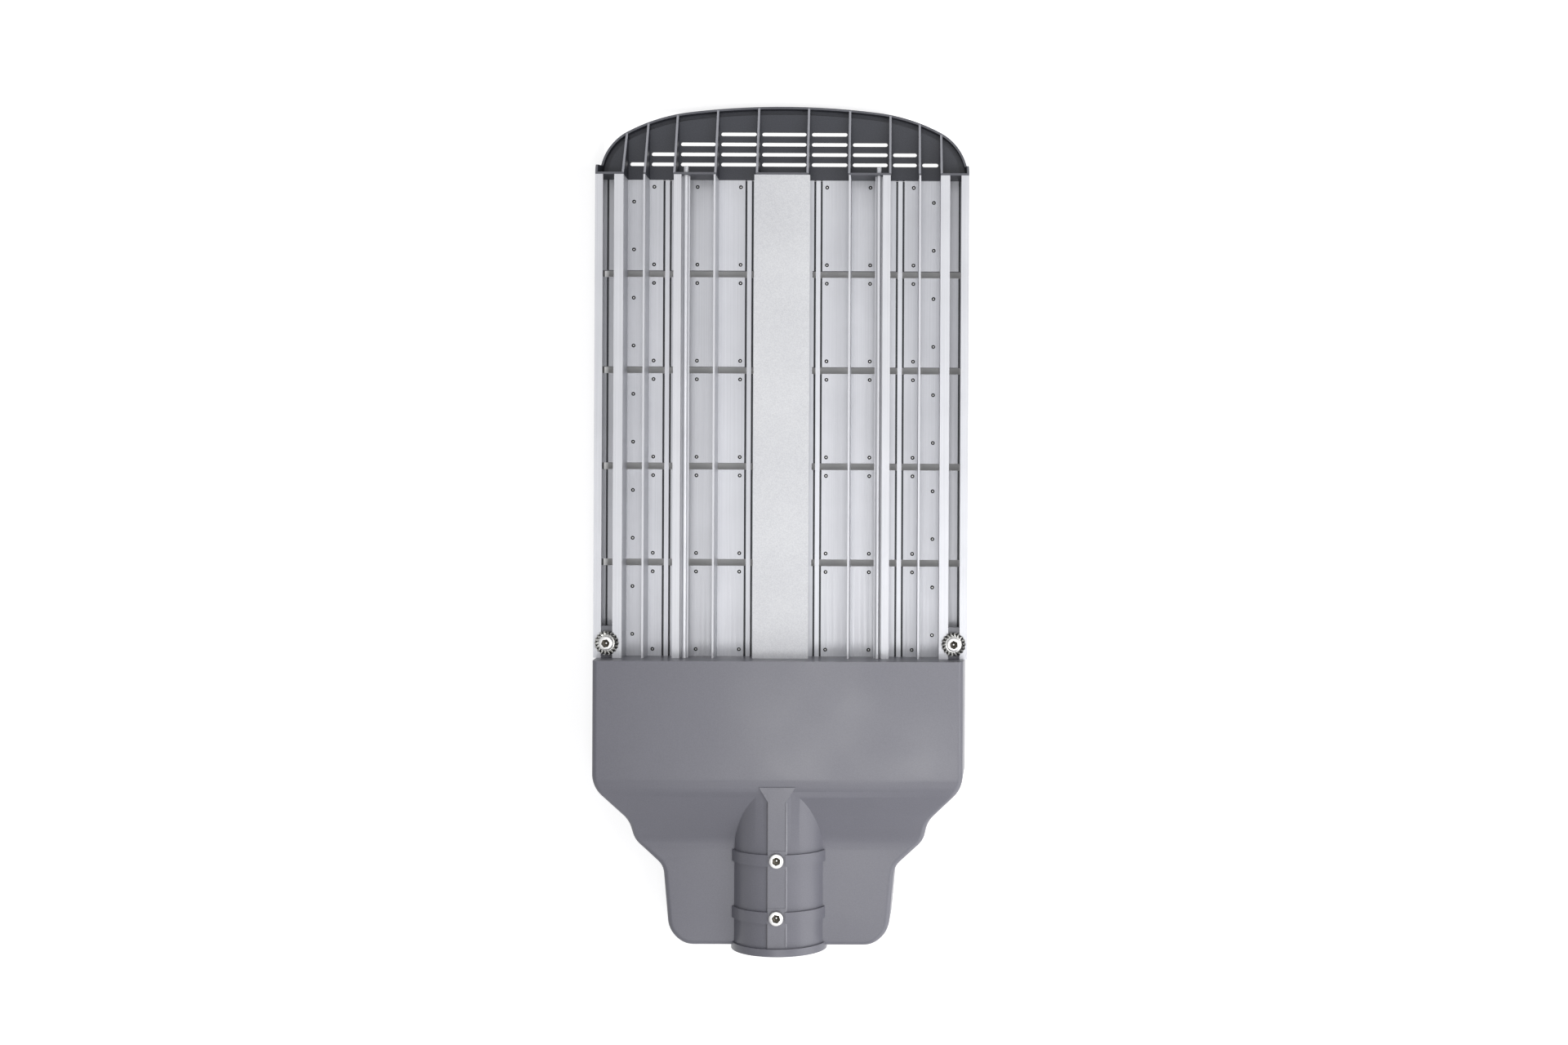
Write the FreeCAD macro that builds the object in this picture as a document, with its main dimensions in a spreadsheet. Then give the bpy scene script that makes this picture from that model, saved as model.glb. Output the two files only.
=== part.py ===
import FreeCAD, Part
import Sketcher

import math
import os
import re

# LED street light head: two finned aluminium extrusions side by side carry ten lens modules below,
# a cast housing at the pole end holds the driver, and a cast grille cap closes the front.
# The origin is the middle of the pole socket's mouth, +Y runs to the front cap and +Z is up.
# Lengths are millimetres and angles are degrees.

SIZES = {
    # levels common to all pieces, and how far a cut runs past what it cuts
    "half_width": 153.0,
    "underside": -35.0,
    "fin_top": 4.0,
    "base_top": -21.0,
    "base_thickness": 5.0,
    "overshoot": 1.0,
    # heat sink extrusions
    "sink_start": 236.0,
    "sink_length": 396.0,
    "split_gap": 0.2,
    "side_wall": 2.0,
    "lip_thickness": 2.5,
    "outer_lip_width": 6.3,
    "channel_opening": 9.3,
    "inner_lip_width": 7.6,
    "outer_fin_inset": 40.1,
    "inner_fin": 55.3,
    "fin_tip": 1.5,
    "fin_root": 2.4,
    "strip_groove_width": 7.0,
    "strip_groove_depth": 3.2,
    "outer_groove_inset": 56.2,
    "inner_groove": 28.65,
    "rail_inset": 64.3,
    "rail_flange_width": 4.2,
    "rail_flange_thickness": 1.6,
    "channel_groove_inset": 6.0,
    "channel_groove_width": 1.6,
    "channel_groove_depth": 1.2,
    "rod_shelf_width": 10.5,
    "rod_shelf_thickness": 1.6,
    "duct_wall": 19.7,
    "duct_wall_thickness": 2.0,
    # milled vents between the module rows, and the module screw holes
    "module_rows": 5.0,
    "module_pitch": 80.0,
    "vent_width": 5.6,
    "vent_inner_end": 24.0,
    "module_hole_radius": 1.6,
    "module_hole_reach": 32.3,
    "module_hole_first": 35.9,
    "module_hole_step": 36.0,
    "end_hole_reach": 19.9,
    "end_hole_place": 124.7,
    # strips, cover and tie rods in the heat sink
    "strip_width": 3.7,
    "strip_height": 3.0,
    "cover_half_width": 22.8,
    "cover_thickness": 3.0,
    "rod_radius": 2.0,
    "rod_inset": 7.5,
    "rod_level": -1.0,
    "rod_clearance": 0.1,
    "rod_seam_width": 1.2,
    "rod_reach": 7.0,
    "rod_tail": 5.0,
    "rod_nut_flats": 7.0,
    "rod_nut_thickness": 3.2,
    # front cap casting
    "cap_reach": 60.7,
    "crown_radius": 640.0,
    "crown_angle": 7.0,
    "haunch_radius": 150.0,
    "haunch_angle": 28.0,
    "cap_wall": 1.8,
    "cap_rim_height": 3.0,
    "cap_floor": 2.2,
    "cap_tail": 15.0,
    "trough_tail": 10.0,
    "cap_shoulder_start": 7.5,
    "cap_shoulder_end": 11.0,
    "trough_width": 4.2,
    "trough_depth": 4.0,
    "rib_thickness": 1.8,
    "rib_flat": 1.5,
    "air_slot_width": 3.3,
    "air_slot_first": 13.2,
    "air_slot_step": 8.4,
    "air_slot_margin": 3.9,
    # driver housing casting
    "housing_top": 35.0,
    "deck_level": 11.0,
    "shoulder_y": 134.8,
    "shoulder_radius": 25.0,
    "waist_half_width": 123.8,
    "waist_y": 105.6,
    "hip_half_width": 119.5,
    "hip_y": 88.6,
    "hip_radius": 20.0,
    "neck_half_width": 96.0,
    "neck_y": 67.0,
    "neck_radius": 15.0,
    "tail_half_width": 90.3,
    "tail_y": 3.0,
    "tail_radius": 22.0,
    "slope_top_y": 134.0,
    "slope_foot_y": 88.0,
    "edge_radius": 4.0,
    "crease_radius": 30.0,
    "front_wall": 8.0,
    "roof_thickness": 3.5,
    "cavity_side_wall": 8.5,
    "cavity_rear_y": 139.5,
    "chamber_inset": 31.0,
    "chamber_rear_y": 117.0,
    "cover_inset": 4.5,
    "cover_rear_y": 113.0,
    "cover_recess": 4.5,
    "lid_thickness": 3.0,
    "lid_clearance": 0.4,
    "wire_hole_radius": 6.0,
    "wire_hole_level": -10.0,
    "tongue_width": 15.0,
    "tongue_height": 9.0,
    "tongue_length": 26.0,
    "tongue_clearance": 0.3,
    "housing_screw_y": 12.2,
    # pole socket
    "spigot_radius": 35.0,
    "bore_radius": 31.5,
    "bore_depth": 112.0,
    "ring_radius": 38.0,
    "ring_width": 9.2,
    "front_ring_y": 76.7,
    "rear_ring_y": 30.8,
    "collar_radius": 38.5,
    "collar_width": 6.0,
    "pad_strip_width": 14.4,
    "pad_strip_top": 35.6,
    "strip_relief": 0.4,
    "screw_pad_length": 15.0,
    "strip_flare_width": 28.0,
    "strip_flare_length": 11.0,
    "gland_level": -8.0,
    "gland_thread_radius": 8.0,
    "gland_flange_radius": 11.0,
    "gland_flange_thickness": 4.0,
    "gland_dome_radius": 9.0,
    "gland_dome_length": 7.0,
    "gland_bore_radius": 4.0,
    "gland_dome_narrowing": 2.0,
    "gland_clearance": 0.2,
    # lid screws and their bosses
    "boss_radius": 5.5,
    "boss_inset": 6.5,
    "boss_front_y": 222.0,
    "boss_rear_y": 150.0,
    "boss_chamber_inset": 10.0,
    "boss_chamber_y": 123.5,
    "lid_screw_radius": 2.0,
    "lid_screw_head_radius": 4.0,
    "lid_screw_head_height": 2.4,
    "lid_screw_length": 12.0,
    # socket head screws and star washers
    "clamp_shank_radius": 3.0,
    "clamp_head_radius": 5.8,
    "clamp_head_height": 4.6,
    "clamp_tip_clearance": 0.5,
    "screw_hole_spare": 0.3,
    "joint_head_radius": 5.75,
    "joint_head_height": 6.0,
    "joint_shank_length": 13.0,
    "hex_key_radius": 2.9,
    "hex_key_depth": 3.0,
    "thread_clearance": 0.1,
    "washer_outer_radius": 10.0,
    "washer_root_radius": 7.8,
    "washer_hole_radius": 3.3,
    "washer_thickness": 0.9,
    "washer_teeth": 15.0,
    # driver and electrical pieces
    "driver_end_room": 15.5,
    "driver_width": 68.0,
    "driver_height": 37.0,
    "driver_middle_y": 185.0,
    "driver_edge": 2.0,
    "driver_seat_gap": 0.3,
    "driver_foot_length": 11.0,
    "driver_foot_width": 40.0,
    "driver_foot_thickness": 2.0,
    "driver_screw_radius": 2.0,
    "driver_screw_head_radius": 3.8,
    "driver_screw_head_height": 2.4,
    "driver_screw_bite": 2.0,
    "terminal_length": 44.0,
    "terminal_width": 15.0,
    "terminal_height": 17.0,
    "terminal_place": -62.0,
    "surge_length": 38.0,
    "surge_width": 15.0,
    "surge_height": 26.0,
    "surge_place": 62.0,
    "chamber_part_y": 128.0,
    # lens modules
    "module_place": 80.0,
    "lens_length": 104.0,
    "lens_width": 72.0,
    "lens_thickness": 2.0,
    "lens_corner": 4.0,
    "seal_thickness": 1.0,
    "seal_width": 2.0,
    "seal_margin": 1.0,
    "board_margin": 4.0,
    "board_thickness": 1.6,
    "dome_rows": 3.0,
    "dome_columns": 4.0,
    "dome_pitch_x": 24.0,
    "dome_pitch_y": 20.0,
    "dome_radius": 6.5,
    "dome_height": 4.6,
    "dome_taper": 38.0,
}

document = FreeCAD.newDocument("street_light_head")
sheet = document.addObject("Spreadsheet::Sheet", "Sizes")
for line, (alias, size) in enumerate(SIZES.items(), start=1):
    sheet.set(f"A{line}", alias)
    sheet.set(f"B{line}", str(size))
    sheet.setAlias(f"B{line}", alias)
document.recompute()

parts = {}


def bound(text):
    """An expression on the sheet's names, as other objects of the document read it."""
    return re.sub(r"[a-z][a-z_]+", lambda m: "Sizes." + m[0] if m[0] in SIZES else m[0], str(text))


def value(text):
    """What an expression on the sheet's names comes to now."""
    return float(sheet.evalExpression(str(text)))


def times(sign, text):
    """The expression itself for the right side, or its mirror image for the left side."""
    return f"({text})" if sign > 0 else f"-({text})"


def new_body(label):
    body = document.addObject("PartDesign::Body", label)
    body.AllowCompound = True
    body.Placement = FreeCAD.Placement()
    parts[label] = body
    return body


def origin_item(body, role):
    return [item for item in body.Origin.OriginFeatures if item.Role == role][0]


def new_sketch(body, name, plane, offset="0"):
    """A sketch on one of the body's own planes, offset along that plane's normal."""
    sketch = body.newObject("Sketcher::SketchObject", name)
    sketch.AttachmentSupport = (origin_item(body, plane), [""])
    sketch.MapMode = "FlatFace"
    sketch.AttachmentOffset = FreeCAD.Placement(FreeCAD.Vector(0, 0, value(offset)), FreeCAD.Rotation())
    sketch.setExpression("AttachmentOffset.Base.z", bound(offset))
    return sketch


def pin(sketch, geometry, point, x, y):
    """Ties one point of the sketch to its two coordinates."""
    for kind, place in (("DistanceX", x), ("DistanceY", y)):
        number = sketch.addConstraint(Sketcher.Constraint(kind, -1, 1, geometry, point, value(place)))
        sketch.setExpression(f"Constraints[{number}]", bound(place))


def set_radius(sketch, geometry, radius):
    number = sketch.addConstraint(Sketcher.Constraint("Radius", geometry, value(radius)))
    sketch.setExpression(f"Constraints[{number}]", bound(radius))


def spot(x, y):
    return FreeCAD.Vector(value(x), value(y), 0)


def draw_polygon(sketch, corners):
    """A closed outline of straight lines through corners, each a pair of expressions."""
    first = sketch.GeometryCount
    count = len(corners)
    for place in range(count):
        start = spot(*corners[place])
        end = spot(*corners[(place + 1) % count])
        sketch.addGeometry(Part.LineSegment(start, end))
    for place in range(count):
        following = first + (place + 1) % count
        sketch.addConstraint(Sketcher.Constraint("Coincident", first + place, 2, following, 1))
    for place, (x, y) in enumerate(corners):
        pin(sketch, first + place, 1, x, y)


def draw_circle(sketch, x, y, radius):
    circle = sketch.addGeometry(Part.Circle(spot(x, y), FreeCAD.Vector(0, 0, 1), value(radius)))
    pin(sketch, circle, 3, x, y)
    set_radius(sketch, circle, radius)


def rectangle(left, low, right, high):
    return [(left, low), (right, low), (right, high), (left, high)]


def mirrored_outline(half):
    """The corners of the right half, followed by their mirror images back up the left side."""
    return half + [(f"-({x})", y) for x, y in reversed(half)]


def pad(body, sketch, length, reverse=False, taper=None):
    feature = body.newObject("PartDesign::Pad", sketch.Name + "_pad")
    feature.Profile = sketch
    feature.Length = value(length)
    feature.setExpression("Length", bound(length))
    feature.Reversed = reverse
    if taper:
        feature.TaperAngle = value(taper)
        feature.setExpression("TaperAngle", bound(taper))
    return feature


def pocket(body, sketch, length, reverse=False):
    feature = body.newObject("PartDesign::Pocket", sketch.Name + "_pocket")
    feature.Profile = sketch
    feature.Length = value(length)
    feature.setExpression("Length", bound(length))
    feature.Reversed = reverse
    return feature


def revolve(body, sketch, axis):
    feature = body.newObject("PartDesign::Revolution", sketch.Name + "_turned")
    feature.Profile = sketch
    feature.ReferenceAxis = (sketch, [axis])
    feature.Angle = 360
    return feature


def repeat(body, features, axis, length, count):
    """A row of copies of the features along one axis of the body."""
    pattern = body.newObject("PartDesign::LinearPattern", features[0].Name + "_row")
    pattern.Originals = features
    pattern.Direction = (origin_item(body, axis), [""])
    pattern.Length = value(length)
    pattern.setExpression("Length", bound(length))
    pattern.Occurrences = round(value(count))
    pattern.setExpression("Occurrences", bound(count))
    body.Tip = pattern
    return pattern


def mirror(body, features, plane="YZ_Plane"):
    copy = body.newObject("PartDesign::Mirrored", features[0].Name + "_mirrored")
    copy.Originals = features
    copy.MirrorPlane = (origin_item(body, plane), [""])
    body.Tip = copy
    return copy


def fillet(body, base, chosen, radius):
    """A fillet on the edges of the base feature that the test picks."""
    document.recompute()
    names = [f"Edge{n}" for n, edge in enumerate(base.Shape.Edges, start=1) if chosen(edge)]
    feature = body.newObject("PartDesign::Fillet", base.Name + "_fillet")
    feature.Base = (base, names)
    feature.Radius = value(radius)
    feature.setExpression("Radius", bound(radius))
    return feature


def upright_edge_at(places):
    """Picks the upright edges that stand at any of the places, given as pairs of expressions."""
    spots = [(value(x), value(y)) for x, y in places]

    def chosen(edge):
        ends = [vertex.Point for vertex in edge.Vertexes]
        if len(ends) != 2 or abs(ends[0].z - ends[1].z) < 1:
            return False
        return any(math.hypot(ends[0].x - x, ends[0].y - y) < 0.01 for x, y in spots)

    return chosen


# Places that follow from the sizes, measured from the middle of the head.

OUTER_LIP_EDGE = "(half_width - outer_lip_width)"
INNER_LIP_EDGE = f"({OUTER_LIP_EDGE} - channel_opening)"
CHANNEL_WALL = f"({INNER_LIP_EDGE} - inner_lip_width)"
CHANNEL_MIDDLE = f"({OUTER_LIP_EDGE} - channel_opening / 2)"
OUTER_FIN = "(half_width - outer_fin_inset)"
OUTER_GROOVE = "(half_width - outer_groove_inset)"
RAIL_FACE = "(half_width - rail_inset)"
RAIL_BACK = f"({RAIL_FACE} - side_wall)"
ROD_PLACE = f"({RAIL_BACK} - rod_inset)"
CAVITY_SIDE = "(half_width - cavity_side_wall)"
CHAMBER_SIDE = "(half_width - chamber_inset)"
DRIVER_END = f"({CAVITY_SIDE} - driver_end_room - driver_foot_length)"
DRIVER_SCREW = f"({DRIVER_END} + driver_foot_length / 2)"

# Heat sink extrusions, one for each side.

BASE_BOTTOM = "base_top - base_thickness"
SINK_END = "sink_start + sink_length"
LIP_FOOT = "fin_top - lip_thickness"
GROOVE_FLOOR = "base_top - strip_groove_depth"
ROD_SHELF_TOP = "rod_level - rod_radius - rod_clearance"
COVER_SEAT = "fin_top - cover_thickness"
CHANNEL_GROOVE_SIDE = "half_width - channel_groove_inset - channel_groove_width"
CHANNEL_GROOVE_FLOOR = "base_top - channel_groove_depth"


def fin_profile(place):
    """A fin of the extrusion, thicker at its root, drawn from its outer side to its inner side."""
    return [
        (f"{place} + fin_root / 2", "base_top"),
        (f"{place} + fin_tip / 2", "fin_top"),
        (f"{place} - fin_tip / 2", "fin_top"),
        (f"{place} - fin_root / 2", "base_top"),
    ]


def groove_profile(place):
    """The groove that holds a strip, drawn from its outer side to its inner side."""
    outer = f"{place} + strip_groove_width / 2"
    inner = f"{place} - strip_groove_width / 2"
    return [(outer, "base_top"), (outer, GROOVE_FLOOR), (inner, GROOVE_FLOOR), (inner, "base_top")]


def sink_profile():
    """The section of the right extrusion from the middle out and back over its channels and fins."""
    channel_side = [
        ("split_gap / 2", BASE_BOTTOM),
        ("half_width - side_wall", BASE_BOTTOM),
        ("half_width - side_wall", "underside"),
        ("half_width", "underside"),
        ("half_width", "fin_top"),
        (OUTER_LIP_EDGE, "fin_top"),
        (OUTER_LIP_EDGE, LIP_FOOT),
        ("half_width - side_wall", LIP_FOOT),
        ("half_width - side_wall", "base_top"),
        ("half_width - channel_groove_inset", "base_top"),
        ("half_width - channel_groove_inset", CHANNEL_GROOVE_FLOOR),
        (CHANNEL_GROOVE_SIDE, CHANNEL_GROOVE_FLOOR),
        (CHANNEL_GROOVE_SIDE, "base_top"),
        (f"{CHANNEL_WALL} + side_wall", "base_top"),
        (f"{CHANNEL_WALL} + side_wall", LIP_FOOT),
        (INNER_LIP_EDGE, LIP_FOOT),
        (INNER_LIP_EDGE, "fin_top"),
        (CHANNEL_WALL, "fin_top"),
        (CHANNEL_WALL, "base_top"),
    ]
    rail = [
        (RAIL_FACE, "base_top"),
        (RAIL_FACE, "fin_top"),
        (f"{RAIL_BACK} - rail_flange_width", "fin_top"),
        (f"{RAIL_BACK} - rail_flange_width", "fin_top - rail_flange_thickness"),
        (RAIL_BACK, "fin_top - rail_flange_thickness"),
        (RAIL_BACK, ROD_SHELF_TOP),
        (f"{RAIL_BACK} - rod_shelf_width", ROD_SHELF_TOP),
        (f"{RAIL_BACK} - rod_shelf_width", f"{ROD_SHELF_TOP} - rod_shelf_thickness"),
        (RAIL_BACK, f"{ROD_SHELF_TOP} - rod_shelf_thickness"),
        (RAIL_BACK, "base_top"),
    ]
    duct = [
        ("duct_wall + duct_wall_thickness", "base_top"),
        ("duct_wall + duct_wall_thickness", COVER_SEAT),
        ("duct_wall", COVER_SEAT),
        ("duct_wall", "base_top"),
        ("split_gap / 2", "base_top"),
    ]
    middle = fin_profile(OUTER_FIN) + groove_profile(OUTER_GROOVE) + rail
    return channel_side + middle + fin_profile("inner_fin") + groove_profile("inner_groove") + duct


MODULE_MIDDLE = "sink_start + sink_length / 2"
FIRST_MODULE = f"{MODULE_MIDDLE} - module_pitch * (module_rows - 1) / 2"


def build_heat_sink(side, sign):
    body = new_body(f"heat_sink_{side}")
    section = new_sketch(body, "section", "XZ_Plane", "-sink_start")
    draw_polygon(section, [(times(sign, x), z) for x, z in sink_profile()])
    pad(body, section, "sink_length", reverse=True)
    vent = new_sketch(body, "vent", "XY_Plane", BASE_BOTTOM)
    middle = f"{FIRST_MODULE} + module_pitch / 2"
    low = f"{middle} - vent_width / 2"
    high = f"{middle} + vent_width / 2"
    inner = times(sign, "vent_inner_end")
    outer = times(sign, "half_width - side_wall")
    draw_polygon(vent, rectangle(inner, low, outer, high))
    vent_cut = pocket(body, vent, "base_thickness", reverse=True)
    repeat(body, [vent_cut], "Y_Axis", "module_pitch * (module_rows - 2)", "module_rows - 1")
    holes = new_sketch(body, "module_holes", "XY_Plane", BASE_BOTTOM)
    for end in ("-", "+"):
        for column in range(3):
            x = f"module_hole_first + module_hole_step * {column}"
            y = f"{FIRST_MODULE} {end} module_hole_reach"
            draw_circle(holes, times(sign, x), y, "module_hole_radius")
        x = times(sign, "end_hole_place")
        draw_circle(holes, x, f"{FIRST_MODULE} {end} end_hole_reach", "module_hole_radius")
    hole_cut = pocket(body, holes, "base_thickness", reverse=True)
    repeat(body, [hole_cut], "Y_Axis", "module_pitch * (module_rows - 1)", "module_rows")


def build_strip(label, sign, place):
    """A straight bar that lies in its groove over the whole length of the extrusion."""
    bar = document.addObject("Part::Box", label)
    bar.setExpression("Length", bound("strip_width"))
    bar.setExpression("Width", bound("sink_length"))
    bar.setExpression("Height", bound("strip_height"))
    bar.setExpression("Placement.Base.x", bound(f"{times(sign, place)} - strip_width / 2"))
    bar.setExpression("Placement.Base.y", bound("sink_start"))
    bar.setExpression("Placement.Base.z", bound(GROOVE_FLOOR))
    parts[label] = bar


def build_duct_cover():
    body = new_body("duct_cover")
    section = new_sketch(body, "section", "XZ_Plane", "-sink_start")
    draw_polygon(section, rectangle("-cover_half_width", COVER_SEAT, "cover_half_width", "fin_top"))
    pad(body, section, "sink_length", reverse=True)


ROD_END = f"{SINK_END} + rod_reach"
ROD_START = "sink_start - front_wall - rod_tail"


def build_tie_rod(side, sign):
    """A long rod from inside the housing's front wall through the cap's wall, with a slit end."""
    body = new_body(f"tie_rod_{side}")
    shank = new_sketch(body, "shank", "XZ_Plane", f"-({ROD_START})")
    middle = times(sign, ROD_PLACE)
    draw_circle(shank, middle, "rod_level", "rod_radius")
    pad(body, shank, f"{ROD_END} - ({ROD_START})", reverse=True)
    slit = new_sketch(body, "slit", "XZ_Plane", f"-({SINK_END})")
    left = f"{middle} - rod_seam_width / 2"
    right = f"{middle} + rod_seam_width / 2"
    draw_polygon(slit, rectangle(left, "rod_level", right, "rod_level + rod_radius + overshoot"))
    pocket(body, slit, "rod_reach + overshoot")


def build_rod_nuts():
    """Hexagon nuts on the tails of the tie rods, against the inside of the housing's front wall."""
    body = new_body("tie_rod_nuts")
    nut = new_sketch(body, "nut", "XZ_Plane", "-(sink_start - front_wall - rod_nut_thickness)")
    draw_hexagon(nut, ROD_PLACE, "rod_level", "rod_nut_flats / 2")
    draw_circle(nut, ROD_PLACE, "rod_level", "rod_radius + thread_clearance")
    first = pad(body, nut, "rod_nut_thickness", reverse=True)
    mirror(body, [first])


def draw_hexagon(sketch, x, y, reach):
    """A regular hexagon, given half the width across its flats."""
    corners = []
    for corner in range(6):
        across = f"({reach}) / cos(30) * cos({60 * corner})"
        along = f"({reach}) / cos(30) * sin({60 * corner})"
        corners.append((f"{x} + {across}", f"{y} + {along}"))
    draw_polygon(sketch, corners)


# Front cap: one casting under a three-centred arch.

CROWN_CENTRE = f"({SINK_END} + cap_reach - crown_radius)"
HAUNCH_X = "((crown_radius - haunch_radius) * sin(crown_angle))"
HAUNCH_Y = f"({CROWN_CENTRE} + (crown_radius - haunch_radius) * cos(crown_angle))"
HAUNCH_END = f"({HAUNCH_X} + haunch_radius * sin(haunch_angle))"
CORNER_RADIUS = f"((half_width - {HAUNCH_END}) / (1 - sin(haunch_angle)))"
CORNER_Y = f"({HAUNCH_Y} + (haunch_radius - {CORNER_RADIUS}) * cos(haunch_angle))"


def draw_arch(sketch, inset, tail):
    """The cap's outline moved inwards by the inset, closed behind the joint at a distance of tail."""
    crown = f"(crown_radius - {inset})"
    haunch = f"(haunch_radius - {inset})"
    corner = f"({CORNER_RADIUS} - {inset})"
    joint_low = (f"half_width - {inset}", f"{SINK_END} - {tail}")
    side_top = (f"half_width - {inset}", CORNER_Y)
    haunch_end = (f"{HAUNCH_X} + {haunch} * sin(haunch_angle)", f"{HAUNCH_Y} + {haunch} * cos(haunch_angle)")
    crown_end = (f"{crown} * sin(crown_angle)", f"{CROWN_CENTRE} + {crown} * cos(crown_angle)")
    right = [joint_low, side_top, haunch_end, crown_end]
    points = right + [(f"-({x})", y) for x, y in reversed(right)]
    radii = [None, corner, haunch, crown, haunch, corner, None, None]
    first = sketch.GeometryCount
    count = len(points)
    for place in range(count):
        start = spot(*points[place])
        end = spot(*points[(place + 1) % count])
        radius = radii[place]
        if radius is None:
            sketch.addGeometry(Part.LineSegment(start, end))
        else:
            chord = end - start
            outward = FreeCAD.Vector(chord.y, -chord.x, 0).normalize()
            rise = value(radius) - math.sqrt(value(radius) ** 2 - (chord.Length / 2) ** 2)
            middle = (start + end) * 0.5 + outward * rise
            sketch.addGeometry(Part.Arc(start, middle, end))
    for place in range(count):
        following = (place + 1) % count
        sketch.addConstraint(
            Sketcher.Constraint("Coincident", first + place, 2, first + following, 1))
    for place, (x, y) in enumerate(points):
        pin(sketch, first + place, 1, x, y)
    for place, radius in enumerate(radii):
        if radius is not None:
            set_radius(sketch, first + place, radius)


def arch_reach(x):
    """How far forward the inside of the cap's rim lies at a place across the cap."""
    crown_end = value("crown_radius * sin(crown_angle)")
    haunch_end = value(HAUNCH_END)
    if value(x) < crown_end:
        return f"{CROWN_CENTRE} + sqrt((crown_radius - cap_wall)^2 - ({x})^2)"
    if value(x) < haunch_end:
        return f"{HAUNCH_Y} + sqrt((haunch_radius - cap_wall)^2 - ({x} - {HAUNCH_X})^2)"
    centre = f"(half_width - {CORNER_RADIUS})"
    return f"{CORNER_Y} + sqrt(({CORNER_RADIUS} - cap_wall)^2 - ({x} - {centre})^2)"


def draw_slot(sketch, left, right, y, width):
    """A slot with round ends, drawn as two lines and two half circles."""
    half = f"({width}) / 2"
    low_left = spot(left, f"{y} - {half}")
    low_right = spot(right, f"{y} - {half}")
    high_right = spot(right, f"{y} + {half}")
    high_left = spot(left, f"{y} + {half}")
    reach = FreeCAD.Vector(value(half), 0, 0)
    level = spot(left, y)
    far = spot(right, y)
    bottom = sketch.addGeometry(Part.LineSegment(low_left, low_right))
    right_end = sketch.addGeometry(Part.Arc(low_right, far + reach, high_right))
    top = sketch.addGeometry(Part.LineSegment(high_right, high_left))
    left_end = sketch.addGeometry(Part.Arc(high_left, level - reach, low_left))
    for before, after in ((bottom, right_end), (right_end, top), (top, left_end), (left_end, bottom)):
        sketch.addConstraint(Sketcher.Constraint("Coincident", before, 2, after, 1))
    for end, x in ((right_end, right), (left_end, left)):
        pin(sketch, end, 3, x, y)
        set_radius(sketch, end, half)
        for point in (1, 2):
            number = sketch.addConstraint(Sketcher.Constraint("DistanceX", -1, 1, end, point, value(x)))
            sketch.setExpression(f"Constraints[{number}]", bound(x))


RIB_INNER = "(duct_wall + duct_wall_thickness / 2)"
RIB_SECOND = "(inner_fin - fin_tip / 3)"
RIB_THIRD = f"({RAIL_FACE} - side_wall / 5)"
RIB_FOURTH = f"({OUTER_FIN} - fin_tip / 5)"
RIB_OUTER = f"({CHANNEL_WALL} + side_wall / 3)"
RIBS = {"rib_inner": RIB_INNER, "rib_second": RIB_SECOND, "rib_third": RIB_THIRD,
        "rib_fourth": RIB_FOURTH, "rib_outer": RIB_OUTER}
RIM_TOP = "base_top + cap_rim_height"
AIR_SLOT_ROWS = [4, 4, 3, 2, 1]


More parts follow.
